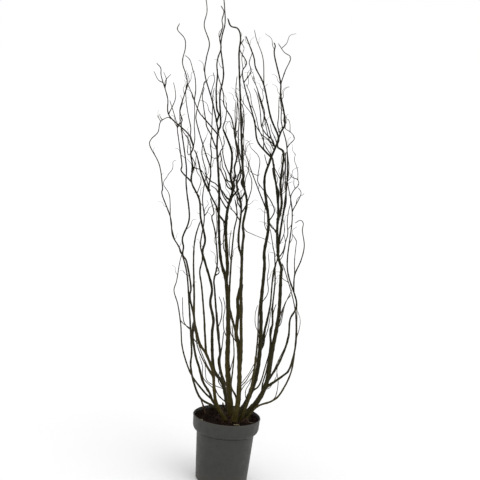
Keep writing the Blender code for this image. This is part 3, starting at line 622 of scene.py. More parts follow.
# --- materials of the plant -------------------------------------------------------------
def bark_material(name, low, high, tip, sheen):
    """Living willow bark: smooth and slightly waxy, darker and duller with age, with fine
    lengthwise ribs, whose streaks also paint the stems' highlights, and small pale breathing
    pores. `low` colours the first half metre, `high` the rest, and `tip` the thin twigs."""
    made, add, shader = new_material(name)
    where = add("ShaderNodeTexCoord").outputs["Object"]
    grain = add("ShaderNodeAttribute", attribute_name="grain").outputs["Vector"]
    youth = add("ShaderNodeAttribute", attribute_name="youth").outputs["Fac"]
    height = add("ShaderNodeSeparateXYZ", {"Vector": where}).outputs["Z"]
    # Cloudy patches, about 40 mm across, move the change from low to high up and down.
    clouds = add("ShaderNodeTexNoise", {"Vector": where, "Scale": 24.0, "Detail": 3.0})
    sway = add("ShaderNodeMath", {0: clouds, 1: 0.5, 2: height}, operation="MULTIPLY_ADD")
    climb = add("ShaderNodeMapRange", {"Value": sway, "From Min": 0.62, "From Max": 1.15})
    body = add("ShaderNodeMix", {"Factor": climb, "A": low, "B": high}, data_type="RGBA")
    thin = add("ShaderNodeMapRange", {"Value": youth, "From Min": 0.70, "From Max": 0.98})
    ends = add("ShaderNodeMix", {"Factor": thin, "A": body, "B": tip}, data_type="RGBA")
    # Ribs 1 mm apart round the stem and 25 mm long. Their light and dark streaks are strong
    # enough to paint the highlights that the stems catch, besides the ribs' own tone.
    ribs_at = add("ShaderNodeMapping", {"Vector": grain, "Scale": (1000, 1000, 40)})
    ribs = add("ShaderNodeTexNoise", {"Vector": ribs_at, "Scale": 1.0, "Detail": 4.0,
        "Roughness": 0.6})
    shade = add("ShaderNodeMapRange", {"Value": ribs, "From Min": 0.3, "From Max": 0.7,
        "To Min": 0.50, "To Max": 1.55})
    ribs_and_painted_highlights = add("ShaderNodeMix", {"Factor": 1.0, "A": ends, "B": shade}, data_type="RGBA",
        blend_type="MULTIPLY")
    # Pores 1 mm long and about 5 mm apart, drawn a little larger than life to show.
    pores_at = add("ShaderNodeMapping", {"Vector": grain, "Scale": (330, 330, 190)})
    pores = add("ShaderNodeTexVoronoi", {"Vector": pores_at, "Scale": 1.0})
    pore = add("ShaderNodeMapRange", {"Value": pores, "From Min": 0.30, "From Max": 0.16,
        "To Max": 0.26})
    pale = add("ShaderNodeMix", {"Factor": pore, "A": ribs_and_painted_highlights, "B": linear("71623f")},
        data_type="RGBA")
    # Grey bloom and dust lie in patches on the older wood.
    dust = add("ShaderNodeTexNoise", {"Vector": where, "Scale": 70.0, "Detail": 6.0,
        "Roughness": 0.7})
    bloom = add("ShaderNodeMapRange", {"Value": dust, "From Min": 0.55, "From Max": 0.75,
        "To Max": 0.14})
    final = add("ShaderNodeMix", {"Factor": bloom, "A": pale, "B": linear("4c4630")},
        data_type="RGBA")
    rough = add("ShaderNodeMapRange", {"Value": dust, "From Min": 0.35, "From Max": 0.7,
        "To Min": sheen, "To Max": sheen + 0.22})
    high_points = add("ShaderNodeMath", {0: ribs, 1: pore}, operation="ADD")
    bump = add("ShaderNodeBump", {"Height": high_points, "Strength": 0.7, "Distance": 0.0004})
    feed(shader, {"Base Color": final, "Roughness": rough, "Normal": bump, "IOR": 1.46,
        "Specular IOR Level": 0.12})
    return made


def old_wood_material(name, dark, light, fissure_scale):
    """Old corky willow bark: dull, cracked lengthwise, grey on the ridges and nearly black
    in the cracks, where the black is partly the wood's own darker colour and partly painted
    shade."""
    made, add, shader = new_material(name)
    where = add("ShaderNodeTexCoord").outputs["Object"]
    bent = add("ShaderNodeTexNoise", {"Vector": where, "Scale": 60.0, "Detail": 3.0})
    moved = add("ShaderNodeMix", {"Factor": 0.03, "A": where, "B": bent.outputs["Color"]},
        data_type="RGBA", blend_type="ADD", clamp_factor=False)
    stretched = add("ShaderNodeMapping", {"Vector": moved, "Scale": (1.0, 1.0, 0.35)})
    cracks = add("ShaderNodeTexVoronoi", {"Vector": stretched, "Scale": fissure_scale},
        feature="DISTANCE_TO_EDGE")
    grit = add("ShaderNodeTexNoise", {"Vector": where, "Scale": 650.0, "Detail": 5.0,
        "Roughness": 0.7})
    ridge = add("ShaderNodeMapRange", {"Value": cracks, "From Max": 0.22})
    mixed = add("ShaderNodeMath", {0: ridge, 1: grit}, operation="MULTIPLY")
    # The near-black stop at the floor of the cracks is partly painted shade.
    colour = add("ShaderNodeValToRGB", {"Fac": mixed}, [(0.05, linear("0d0a07")), (0.32, dark),
        (0.75, light)])
    bump = add("ShaderNodeBump", {"Height": mixed, "Strength": 0.9, "Distance": 0.0016})
    feed(shader, {"Base Color": colour, "Roughness": 0.88, "Specular IOR Level": 0.15,
        "Normal": bump})
    return made


def twig_material(colour):
    """Bark of one summer's growth: thin, smooth and slightly glossy, greyer in patches (the
    real bark is greyer on the side that saw the sun)."""
    made, add, shader = new_material("willow_bark_one_year")
    where = add("ShaderNodeTexCoord").outputs["Object"]
    patch = add("ShaderNodeTexNoise", {"Vector": where, "Scale": 130.0, "Detail": 4.0})
    tone = add("ShaderNodeValToRGB", {"Fac": patch}, [(0.35, colour), (0.75, linear("43372b"))])
    feed(shader, {"Base Color": tone, "Roughness": 0.55, "Specular IOR Level": 0.15})
    return made


def bud_material():
    """Willow bud scale: one smooth leathery cap over each bud, red-brown with a soft shine."""
    made, add, shader = new_material("willow_bud_scale")
    where = add("ShaderNodeTexCoord").outputs["Object"]
    each = add("ShaderNodeTexNoise", {"Vector": where, "Scale": 45.0, "Detail": 2.0})
    colour = add("ShaderNodeValToRGB", {"Fac": each},
        [(0.35, linear("24160f")), (0.6, linear("3e2517"))])
    feed(shader, {"Base Color": colour, "Roughness": 0.42})
    return made


# --- pot --------------------------------------------------------------------------------
def pot_plastic():
    """Recycled polypropylene, injection moulded: dark grey, matt from the mould's spark
    texture, with a little chalky wear, soil dust low down and handling scuffs."""
    made, add, shader = new_material("moulded_polypropylene")
    where = add("ShaderNodeTexCoord").outputs["Object"]
    height = add("ShaderNodeSeparateXYZ", {"Vector": where}).outputs["Z"]
    # Recycled resin mottles in patches of about 6 mm.
    mottle = add("ShaderNodeTexNoise", {"Vector": where, "Scale": 160.0, "Detail": 4.0})
    base = add("ShaderNodeValToRGB", {"Fac": mottle},
        [(0.3, linear("252522")), (0.7, linear("2b2b28"))])
    # Scuffs are upright strokes about 1 mm wide and 20 mm long.
    strokes = add("ShaderNodeMapping", {"Vector": where, "Scale": (420, 420, 26)})
    scuff = add("ShaderNodeTexNoise", {"Vector": strokes, "Scale": 1.0, "Detail": 5.0,
        "Roughness": 0.65})
    worn = add("ShaderNodeMapRange", {"Value": scuff, "From Min": 0.60, "From Max": 0.78,
        "To Max": 0.22})
    scuffed = add("ShaderNodeMix", {"Factor": worn, "A": base, "B": linear("46453f")},
        data_type="RGBA")
    # Soil dust is thickest at the foot and in a band under the rim.
    grime = add("ShaderNodeTexNoise", {"Vector": where, "Scale": 48.0, "Detail": 7.0,
        "Roughness": 0.62})
    low = add("ShaderNodeMapRange", {"Value": height, "From Min": 0.05, "From Max": 0.0,
        "To Max": 0.55})
    rim = add("ShaderNodeMapRange", {"Value": height, "From Min": 0.192, "From Max": 0.211,
        "To Max": 0.30})
    amount = add("ShaderNodeMath", {0: low, 1: rim}, operation="ADD")
    dusty = add("ShaderNodeMath", {0: amount, 1: grime}, operation="MULTIPLY")
    final = add("ShaderNodeMix", {"Factor": dusty, "A": scuffed, "B": linear("4d463a")},
        data_type="RGBA")
    matt = add("ShaderNodeMapRange", {"Value": grime, "From Min": 0.3, "From Max": 0.7,
        "To Min": 0.46, "To Max": 0.66})
    # The mould's spark texture is about 0.4 mm; it is drawn at 0.8 mm so that it shows.
    spark = add("ShaderNodeTexNoise", {"Vector": where, "Scale": 1250.0, "Detail": 2.0})
    bump = add("ShaderNodeBump", {"Height": spark, "Strength": 0.35, "Distance": 0.0003})
    feed(shader, {"Base Color": final, "Roughness": matt, "IOR": 1.49, "Normal": bump})
    return made


def rounded(profile, centre, radius, start, stop, steps):
    """Adds an arc to the profile, angles in degrees from +r towards +z."""
    for i in range(steps + 1):
        angle = math.radians(start + (stop - start) * i / steps)
        profile.append((centre[0] + radius * math.cos(angle),
            centre[1] + radius * math.sin(angle)))


def pot_profile(wall, lip):
    """The pot's section as one closed walk of (radius, height): up the outside from the
    middle of the underside, over the lip and down the inside."""
    collar = RIM_RADIUS - COLLAR_DRAFT
    corner = (BASE_RADIUS - BASE_CORNER, BASE_CORNER)
    out = [(0.0, 0.0006), (0.044, 0.0006), (0.046, 0.0)]
    rounded(out, corner, BASE_CORNER, -90, 0, 8)
    # The mould's parting groove runs round the wall right under the shoulder.
    slope = (BODY_RADIUS - BASE_RADIUS) / (BODY_TOP - BASE_CORNER)
    for z, deep in ((0.050, 0.0), (0.105, 0.0), (BODY_TOP - 0.0026, 0.0),
            (BODY_TOP - 0.0018, 0.0008), (BODY_TOP - 0.0006, 0.0009)):
        out.append((BASE_RADIUS + slope * (z - BASE_CORNER) - deep, z))
    for i in range(9):
        angle = math.radians(90 * i / 8)
        out.append((BODY_RADIUS + (collar - 0.0006 - BODY_RADIUS) * math.sin(angle),
            BODY_TOP + SHOULDER_HEIGHT * (1 - math.cos(angle))))
    # The collar's lower edge stands over the shoulder as a small rounded step.
    rounded(out, (collar - 0.0004, COLLAR_FOOT + 0.0012), 0.0008, -70, 0, 4)
    out.append((RIM_RADIUS - 0.0003, POT_HEIGHT - 0.0075))
    rounded(out, (RIM_RADIUS - 0.0012, POT_HEIGHT - 0.0030), 0.0012 + lip, -60, 90, 8)
    out.append((RIM_RADIUS - wall + 0.0004, POT_HEIGHT))
    out.append((RIM_RADIUS - wall, POT_HEIGHT - 0.0006))
    inner = [(collar - wall, COLLAR_FOOT), (BODY_RADIUS - wall, BODY_TOP),
        (BASE_RADIUS - wall, BASE_CORNER + 0.002), (BASE_RADIUS - 0.008, 0.0028), (0.046, wall),
        (0.0, wall)]
    return out + inner


def lathe(profile, steps, name):
    """Turns the profile round Z; a point on the axis becomes one pole."""
    points, faces, rings = [], [], []
    for r, z in profile:
        if r < 1e-6:
            rings.append([len(points)] * steps)
            points.append((0.0, 0.0, z))
            continue
        rings.append(list(range(len(points), len(points) + steps)))
        points.extend((r * math.cos(2 * math.pi * k / steps),
            r * math.sin(2 * math.pi * k / steps), z) for k in range(steps))
    for a, b in zip(rings, rings[1:]):
        for k in range(steps):
            corners = (a[k], a[(k + 1) % steps], b[(k + 1) % steps], b[k])
            faces.append(tuple(dict.fromkeys(corners)))
    mesh = bpy.data.meshes.new(name)
    mesh.from_pydata(points, [], faces)
    return mesh


# --- compost ----------------------------------------------------------------------------
def compost_material(name, dark, light, accent):
    """Peat-free compost of composted bark and fibre: crumbly, damp and almost black in the
    gaps, with red-brown bark in it."""
    made, add, shader = new_material(name)
    where = add("ShaderNodeTexCoord").outputs["Object"]
    # Crumbs of about 2.5 mm each take their own tone.
    cells = add("ShaderNodeTexVoronoi", {"Vector": where, "Scale": 400.0})
    tone = add("ShaderNodeSeparateColor", {"Color": cells.outputs["Color"]})
    crumb = add("ShaderNodeValToRGB", {"Fac": tone}, [(0.0, dark), (0.62, light), (0.93, light),
        (1.0, accent)])
    fine = add("ShaderNodeTexNoise", {"Vector": where, "Scale": 900.0, "Detail": 4.0,
        "Roughness": 0.7})
    shade = add("ShaderNodeMapRange", {"Value": fine, "From Min": 0.3, "From Max": 0.7,
        "To Min": 0.5, "To Max": 1.5})
    final = add("ShaderNodeMix", {"Factor": 1.0, "A": crumb, "B": shade}, data_type="RGBA",
        blend_type="MULTIPLY")
    relief = add("ShaderNodeMath", {0: cells, 1: fine}, operation="SUBTRACT")
    bump = add("ShaderNodeBump", {"Height": relief, "Strength": 0.8, "Distance": 0.0015},
        invert=True)
    feed(shader, {"Base Color": final, "Roughness": 0.94, "Specular IOR Level": 0.06,
        "Normal": bump})
    return made


def compost_height(x, y):
    """Top of the compost: heaped towards the crown, lumpy, and level with the wall."""
    away = math.hypot(x, y)
    edge = min(1.0, max(0.0, (0.1005 - away) / 0.012))
    lumps = noise.fractal(Vector((x * 45, y * 45, 3.1)), 0.8, 2.0, 5)
    heap = 0.0035 * math.exp(-((x - 0.02) ** 2 + y * y) / 0.0022)
    return COMPOST_TOP - 0.0006 + edge * (0.0024 * lumps + heap)


def compost_mesh(wall_inner):
    """A closed body with a lumpy top; wall_inner gives the pot's inner radius at a height."""
    steps, rings = 112, 34
    points, faces = [(0.0, 0.0, compost_height(0, 0))], []
    edge = wall_inner(COMPOST_TOP) - COMPOST_GAP
    radii = [edge * ((i + 1) / rings) for i in range(rings)]
    levels = [(r, None) for r in radii]
    levels += [(wall_inner(z) - COMPOST_GAP, z)
        for z in (0.186, COLLAR_FOOT, BODY_TOP, 0.06, 0.012)]
    levels += [(0.070, COMPOST_FOOT), (0.04, COMPOST_FOOT)]
    for r, z in levels:
        for k in range(steps):
            angle = 2 * math.pi * k / steps
            x, y = r * math.cos(angle), r * math.sin(angle)
            points.append((x, y, compost_height(x, y) if z is None else z))
    points.append((0.0, 0.0, COMPOST_FOOT))
    for k in range(steps):
        n = (k + 1) % steps
        faces.append((0, 1 + k, 1 + n))
        for i in range(len(levels) - 1):
            a, b = 1 + i * steps, 1 + (i + 1) * steps
            faces.append((a + k, b + k, b + n, a + n))
        base = 1 + (len(levels) - 1) * steps
        faces.append((base + n, base + k, len(points) - 1))
    mesh = bpy.data.meshes.new("compost")
    mesh.from_pydata(points, [], faces)
    mesh.shade_smooth()
    return mesh


# --- geometry node trees ----------------------------------------------------------------
def new_tree(name, sockets):
    """An empty Geometry Nodes group with the given inputs: (name, type, default)."""
    tree = bpy.data.node_groups.new(name, "GeometryNodeTree")
    tree.interface.new_socket("Geometry", in_out="INPUT", socket_type="NodeSocketGeometry")
    tree.interface.new_socket("Geometry", in_out="OUTPUT", socket_type="NodeSocketGeometry")
    for label, kind, default in sockets:
        made = tree.interface.new_socket(label, in_out="INPUT", socket_type=kind)
        if default is not None:
            made.default_value = default
    add = partial(node, tree)
    return tree, add, add("NodeGroupInput")


def bud_tree():
    """Buds set alternately along every shoot, each pressed close to the wood."""
    tree, add, given = new_tree("willow_buds", [("Spacing", "NodeSocketFloat", 0.036),
        ("Length", "NodeSocketFloat", 0.0048), ("Seed", "NodeSocketInt", 5),
        ("Material", "NodeSocketMaterial", None)])
    shoots = add("GeometryNodeMeshToCurve", {"Mesh": given.outputs["Geometry"]})
    spots = add("GeometryNodeResampleCurve",
        {"Curve": shoots, "Length": given.outputs["Spacing"]}, mode="LENGTH")
    # One bud: a drop-shaped cap, one unit long, leaning out a little.
    ball = add("GeometryNodeMeshUVSphere", {"Segments": 7, "Rings": 6, "Radius": 0.5})
    at = add("GeometryNodeInputPosition")
    up = add("ShaderNodeSeparateXYZ", {0: at})
    waist = add("ShaderNodeMapRange", {"Value": up.outputs["Z"], "From Min": -0.5,
        "From Max": 0.5, "To Min": 0.46, "To Max": 0.10})
    across = add("ShaderNodeCombineXYZ", {"X": waist, "Y": waist, "Z": 1.0})
    slim = add("ShaderNodeVectorMath", {0: at, 1: across}, operation="MULTIPLY")
    drop = add("GeometryNodeSetPosition", {"Geometry": ball, "Position": slim})
    bud = add("GeometryNodeTransform", {"Geometry": drop, "Rotation": (0.0, 0.24, 0.0)})
    soft = add("GeometryNodeSetShadeSmooth", {"Geometry": bud})
    along = add("GeometryNodeInputTangent")
    upright = add("FunctionNodeAlignRotationToVector", {"Vector": along}, axis="Z")
    count = add("GeometryNodeInputIndex")
    drift = add("FunctionNodeRandomValue", {"Seed": given.outputs["Seed"], 2: -0.6, 3: 0.6},
        data_type="FLOAT")
    turn = add("ShaderNodeMath", {0: count, 1: 2.75, 2: drift}, operation="MULTIPLY_ADD")
    spin = add("FunctionNodeAxisAngleToRotation", {"Axis": (0.0, 0.0, 1.0), "Angle": turn})
    facing = add("FunctionNodeRotateRotation", {0: upright, 1: spin}, rotation_space="LOCAL")
    size = add("FunctionNodeRandomValue", {"Seed": given.outputs["Seed"], 2: 0.75, 3: 1.15},
        data_type="FLOAT")
    scale = add("ShaderNodeMath", {0: size, 1: given.outputs["Length"]}, operation="MULTIPLY")
    buds = add("GeometryNodeInstanceOnPoints", {"Points": spots, "Instance": soft,
        "Rotation": facing, "Scale": scale})
    thick = add("GeometryNodeInputNamedAttribute", {"Name": "thick"}, data_type="FLOAT")
    out = add("ShaderNodeCombineXYZ", {"X": thick})
    seated = add("GeometryNodeTranslateInstances", {"Instances": buds, "Translation": out})
    real = add("GeometryNodeRealizeInstances", {0: seated})
    done = add("GeometryNodeSetMaterial",
        {"Geometry": real, "Material": given.outputs["Material"]})
    add("NodeGroupOutput", {0: done})
    return tree


def spur_tree():
    """Short corkscrew shoots of last summer, standing out from the finer wood."""
    tree, add, given = new_tree("willow_spurs", [("Spacing", "NodeSocketFloat", 0.075),
        ("Length", "NodeSocketFloat", 0.045), ("Share", "NodeSocketFloat", 0.6),
        ("Seed", "NodeSocketInt", 9), ("Material", "NodeSocketMaterial", None)])
    shoots = add("GeometryNodeMeshToCurve", {"Mesh": given.outputs["Geometry"]})
    spots = add("GeometryNodeResampleCurve",
        {"Curve": shoots, "Length": given.outputs["Spacing"]}, mode="LENGTH")
    # One spur, one unit long: a widening turn of a corkscrew that tapers to its tip.
    winding = add("GeometryNodeCurveSpiral", {"Resolution": 12, "Rotations": 1.1,
        "Start Radius": 0.0, "End Radius": 0.13, "Height": 1.0})
    along = add("GeometryNodeSplineParameter")
    taper = add("ShaderNodeMapRange", {"Value": along, "To Min": 1.0, "To Max": 0.45})
    section = add("GeometryNodeCurvePrimitiveCircle", {"Resolution": 5, "Radius": 0.021})
    spur = add("GeometryNodeCurveToMesh", {"Curve": winding, "Profile Curve": section,
        "Scale": taper, "Fill Caps": True})
    soft = add("GeometryNodeSetShadeSmooth", {"Geometry": spur})
    line = add("GeometryNodeInputTangent")
    upright = add("FunctionNodeAlignRotationToVector", {"Vector": line}, axis="Z")
    # Each chance value has its own seed, so that a spur's size doesn't go with its turn.
    seeds = [add("ShaderNodeMath", {0: given.outputs["Seed"], 1: step},
        operation="ADD").outputs[0] for step in (0.0, 101.0, 202.0, 303.0)]
    heading = add("FunctionNodeRandomValue", {"Seed": seeds[0], 3: math.tau}, data_type="FLOAT")
    spin = add("FunctionNodeAxisAngleToRotation", {"Axis": (0.0, 0.0, 1.0), "Angle": heading})
    lean = add("FunctionNodeRandomValue", {"Seed": seeds[1], 2: 0.3, 3: 0.8}, data_type="FLOAT")
    tip = add("FunctionNodeAxisAngleToRotation", {"Axis": (1.0, 0.0, 0.0), "Angle": lean})
    turned = add("FunctionNodeRotateRotation", {0: upright, 1: spin}, rotation_space="LOCAL")
    tipped = add("FunctionNodeRotateRotation", {0: turned, 1: tip}, rotation_space="LOCAL")
    size = add("FunctionNodeRandomValue", {"Seed": seeds[2], 2: 0.5, 3: 1.4}, data_type="FLOAT")
    scale = add("ShaderNodeMath", {0: size, 1: given.outputs["Length"]}, operation="MULTIPLY")
    chosen = add("FunctionNodeRandomValue",
        {"Seed": seeds[3], "Probability": given.outputs["Share"]}, data_type="BOOLEAN")
    spurs = add("GeometryNodeInstanceOnPoints", {"Points": spots, "Selection": chosen,
        "Instance": soft, "Rotation": tipped, "Scale": scale})
    real = add("GeometryNodeRealizeInstances", {0: spurs})
    done = add("GeometryNodeSetMaterial",
        {"Geometry": real, "Material": given.outputs["Material"]})
    add("NodeGroupOutput", {0: done})
    return tree


def scatter_tree():
    """Loose bits strewn over a surface: each a small lump, stretched and turned by chance
    and then pitted, so that no two are alike."""
    tree, add, given = new_tree("loose_bits", [("Density", "NodeSocketFloat", 60000.0),
        ("Size", "NodeSocketFloat", 0.003), ("Stretch", "NodeSocketFloat", 1.5),
        ("Flatness", "NodeSocketFloat", 0.7), ("Seed", "NodeSocketInt", 1),
        ("Material", "NodeSocketMaterial", None)])
    strewn = add("GeometryNodeDistributePointsOnFaces", {"Mesh": given.outputs["Geometry"],
        "Density": given.outputs["Density"], "Seed": given.outputs["Seed"]})
    lump = add("GeometryNodeMeshIcoSphere", {"Radius": 0.5, "Subdivisions": 2})
    turn = add("FunctionNodeRandomValue", {"Seed": given.outputs["Seed"],
        0: (-0.5, -0.5, -3.14), 1: (0.5, 0.5, 3.14)}, data_type="FLOAT_VECTOR")
    size = add("FunctionNodeRandomValue", {"Seed": given.outputs["Seed"], 2: 0.35, 3: 1.25},
        data_type="FLOAT")
    whole = add("ShaderNodeMath", {0: size, 1: given.outputs["Size"]}, operation="MULTIPLY")
    shape = add("ShaderNodeCombineXYZ", {"X": given.outputs["Stretch"], "Y": 1.0,
        "Z": given.outputs["Flatness"]})
    scale = add("ShaderNodeVectorMath", {0: shape, "Scale": whole}, operation="SCALE")
    bits = add("GeometryNodeInstanceOnPoints", {"Points": strewn, "Instance": lump,
        "Rotation": turn, "Scale": scale})
    real = add("GeometryNodeRealizeInstances", {0: bits})
    pits = add("ShaderNodeTexNoise", {"Scale": 420.0, "Detail": 2.0})
    push = add("ShaderNodeVectorMath", {0: pits.outputs["Color"], 1: (0.5, 0.5, 0.5)},
        operation="SUBTRACT")
    amount = add("ShaderNodeMath", {0: given.outputs["Size"], 1: 0.9}, operation="MULTIPLY")
    offset = add("ShaderNodeVectorMath", {0: push, "Scale": amount}, operation="SCALE")
    pitted = add("GeometryNodeSetPosition", {"Geometry": real, "Offset": offset})
    done = add("GeometryNodeSetMaterial",
        {"Geometry": pitted, "Material": given.outputs["Material"]})
    add("NodeGroupOutput", {0: done})
    return tree


def grown(obj, name, tree, values):
    """Runs a tree on the object with the given inputs and returns the plain result."""
    modifier = obj.modifiers.new(tree.name, "NODES")
    modifier.node_group = tree
    for item in tree.interface.items_tree:
        if item.in_out == "INPUT" and item.name in values:
            modifier[item.identifier] = values[item.name]
    made = baked(obj, name)
    if not made.data.polygons:
        raise RuntimeError(f"{name} came out empty")
    return made


# --- what a user would change -----------------------------------------------------------
class WillowStemSettings(bpy.types.PropertyGroup):
    """Sizes and colours of the living wood."""
    olive: FloatVectorProperty(name="Olive bark", description="Lower bark of the green stems",
        subtype="COLOR", size=4, min=0, max=1, default=linear("373012"))
    brown: FloatVectorProperty(name="Brown bark", description="Lower bark of the brown stems",
        subtype="COLOR", size=4, min=0, max=1, default=linear("2b2813"))
    upper: FloatVectorProperty(name="Upper bark", description="Bark of the upper shoots",
        subtype="COLOR", size=4, min=0, max=1, default=linear("191809"))
    tip: FloatVectorProperty(name="Twig bark", description="Bark of the thinnest twigs",
        subtype="COLOR", size=4, min=0, max=1, default=linear("2a2115"))
    bud_length: FloatProperty(name="Bud length", description="Length of one bud",
        default=0.0048, min=0.001, max=0.02, unit="LENGTH")
    bud_spacing: FloatProperty(name="Bud spacing",
        description="Distance from bud to bud along a shoot", default=0.036, min=0.01, max=0.2,
        unit="LENGTH")
    spur_length: FloatProperty(name="Spur length", description="Usual length of a short spur",
        default=0.045, min=0.005, max=0.2, unit="LENGTH")
    spur_spacing: FloatProperty(name="Spur spacing",
        description="Distance between the places where a spur may grow", default=0.075,
        min=0.02, max=0.5, unit="LENGTH")
    seed: IntProperty(name="Seed", description="Which set of swellings the stems get",
        default=7, min=0)


class WillowPotSettings(bpy.types.PropertyGroup):
    """Sizes of the pot that the solids leave free."""
    wall: FloatProperty(name="Wall", description="Thickness of the pot's wall", default=0.0022,
        min=0.0005, max=0.004, unit="LENGTH")
    lip: FloatProperty(name="Lip", description="How far the bead on the rim stands out",
        default=0.0009, min=0.0, max=0.003, unit="LENGTH")
    steps: IntProperty(name="Sides", description="Facets round the pot", default=144, min=32,
        max=512)


class WillowCompostSettings(bpy.types.PropertyGroup):
    """What lies on top of the compost."""
    crumb_size: FloatProperty(name="Crumb size", description="Usual width of a crumb",
        default=0.0036, min=0.001, max=0.02, unit="LENGTH")
    crumb_density: FloatProperty(name="Crumbs per square metre",
        description="How thickly the crumbs lie", default=52000.0, min=0.0)
    bark_size: FloatProperty(name="Bark size", description="Usual width of a bit of bark",
        default=0.0042, min=0.001, max=0.03, unit="LENGTH")
    bark_density: FloatProperty(name="Bark per square metre",
        description="How thickly the bits of bark lie", default=6500.0, min=0.0)


class WillowStageSettings(bpy.types.PropertyGroup):
    """The floor, the light and the camera."""
    sun_strength: FloatProperty(name="Main light", description="Strength of the main light",
        default=0.6, min=0.0)
    sky_strength: FloatProperty(name="Room light",
        description="Light that comes from all round", default=1.0, min=0.0)
    lens: FloatProperty(name="Focal length",
        description="The camera's focal length in millimetres", default=89.775, min=1.0,
        unit="CAMERA")
    tilt: FloatProperty(name="Tilt", description="How far the camera looks down",
        default=math.radians(9.88), subtype="ANGLE")
    roll: FloatProperty(name="Roll",
        description="How far the camera is turned about its own axis",
        default=math.radians(5.3), subtype="ANGLE")


# --- operators --------------------------------------------------------------------------
class WILLOW_OT_pot(bpy.types.Operator):
    """Turns the pot's shell and drills its drain holes"""
    bl_idname = "willow.pot"
    bl_label = "Pot"

    def execute(self, context):
        given = context.scene.willow_pot
        shell = place("nursery_pot", lathe(pot_profile(given.wall, given.lip), given.steps,
            "nursery_pot"))
        holes = bmesh.new()
        for i in range(DRAIN_HOLES):
            around = Matrix.Rotation(2 * math.pi * (i + 0.5) / DRAIN_HOLES, 4, "Z")
            away = Matrix.Translation((BASE_RADIUS - DRAIN_INSET, 0.0, 0.0))
            bmesh.ops.create_cone(holes, cap_ends=True, segments=20, radius1=DRAIN_RADIUS,
                radius2=DRAIN_RADIUS, depth=0.02, matrix=around @ away)
        mesh = bpy.data.meshes.new("drain_holes")
        holes.to_mesh(mesh)
        holes.free()
        cutter = place("drain_holes", mesh)
        cut = shell.modifiers.new("Holes", "BOOLEAN")
        cut.object, cut.solver = cutter, "EXACT"
        made = baked(shell, "nursery_pot")
        bpy.data.objects.remove(cutter)
        if len(made.data.polygons) < given.steps:
            raise RuntimeError("the drain holes took the pot away")
        made.data.materials.clear()
        made.data.materials.append(pot_plastic())
        made.data.shade_smooth()
        made.data.set_sharp_from_angle(angle=math.radians(35))
        settle(made, "pot")
        return {"FINISHED"}


def pot_inner(z):
    """The pot's inner radius at a height."""
    wall = bpy.context.scene.willow_pot.wall
    levels = [(BASE_CORNER, BASE_RADIUS), (BODY_TOP, BODY_RADIUS),
        (COLLAR_FOOT, RIM_RADIUS - COLLAR_DRAFT), (POT_HEIGHT, RIM_RADIUS)]
    for (z0, r0), (z1, r1) in zip(levels, levels[1:]):
        if z <= z1:
            return r0 + (r1 - r0) * max(0.0, z - z0) / (z1 - z0) - wall
    return RIM_RADIUS - wall


class WILLOW_OT_compost(bpy.types.Operator):
    """Fills the pot with compost and strews crumbs and bits of bark over it"""
    bl_idname = "willow.compost"
    bl_label = "Compost"

    def execute(self, context):
        given = context.scene.willow_compost
        finish = compost_material("peat_free_compost", linear("090503"), linear("1a1009"),
            linear("3a2012"))
        body = place("compost_body", compost_mesh(pot_inner), finish)
        settle(body, "compost")
        # The bits lie on a copy of the top, kept clear of the wall.
        top = bmesh.new()
        top.from_mesh(body.data)
        wall = pot_inner(COMPOST_TOP)
        unwanted = [f for f in top.faces if f.normal.z < 0.3
            or f.calc_center_median().to_2d().length > wall - 0.005]
        bmesh.ops.delete(top, geom=unwanted, context="FACES")
        tree = scatter_tree()
        bark = old_wood_material("composted_pine_bark", linear("21140c"), linear("553523"),
            260.0)
        fibre = old_wood_material("coir_and_straw_fibre", linear("302316"), linear("7a6445"),
            400.0)
        kinds = [("compost_crumbs", finish, given.crumb_density, given.crumb_size, 1.3, 0.75,
            3), ("compost_bark_bits", bark, given.bark_density, given.bark_size, 1.9, 0.4, 11),
            ("compost_fibres", fibre, given.bark_density * 0.5, given.bark_size * 0.4, 6.0, 0.5,
            23)]
        for name, material, density, size, stretch, flat, seed in kinds:
            mesh = bpy.data.meshes.new(name)
            top.to_mesh(mesh)
            made = grown(place(name + "_ground", mesh), name, tree,
                {"Density": density, "Size": size, "Stretch": stretch, "Flatness": flat,
                "Seed": seed, "Material": material})
            settle(made, None)
        top.free()
        return {"FINISHED"}


class WILLOW_OT_crown(bpy.types.Operator):
    """Grows the old crown's cracked, knobbly surface round its solid"""
    bl_idname = "willow.crown"
    bl_label = "Old crown"

    def execute(self, context):
        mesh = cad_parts["crown"].data.copy()
        shape = bmesh.new()
        shape.from_mesh(mesh)
        bmesh.ops.remove_doubles(shape, verts=shape.verts, dist=1e-5)
        shape.to_mesh(mesh)
        shape.free()
        stump = place("stump", mesh)
        remesh = stump.modifiers.new("Even", "REMESH")
        remesh.mode, remesh.voxel_size = "VOXEL", CROWN_VOXEL
        made = baked(stump, "willow_crown")
        made.data.update()
        normals = [v.normal.copy() for v in made.data.vertices]
        for vertex, normal in zip(made.data.vertices, normals):
            at = vertex.co
            ridges = noise.ridged_multi_fractal(Vector((at.x * 70, at.y * 70, at.z * 30)), 1.0,
                2.1, 4, 0.9, 2.0)
            lumps = noise.noise(at * 60)
            vertex.co = at + normal * (0.0016 * lumps + 0.0011 * (ridges - 1.0) - 0.0004)
        made.data.materials.clear()
        made.data.materials.append(old_wood_material("old_willow_bark", linear("24160c"),
            linear("583c26"), 120.0))
        made.data.shade_smooth()
        settle(made, "crown")
        return {"FINISHED"}


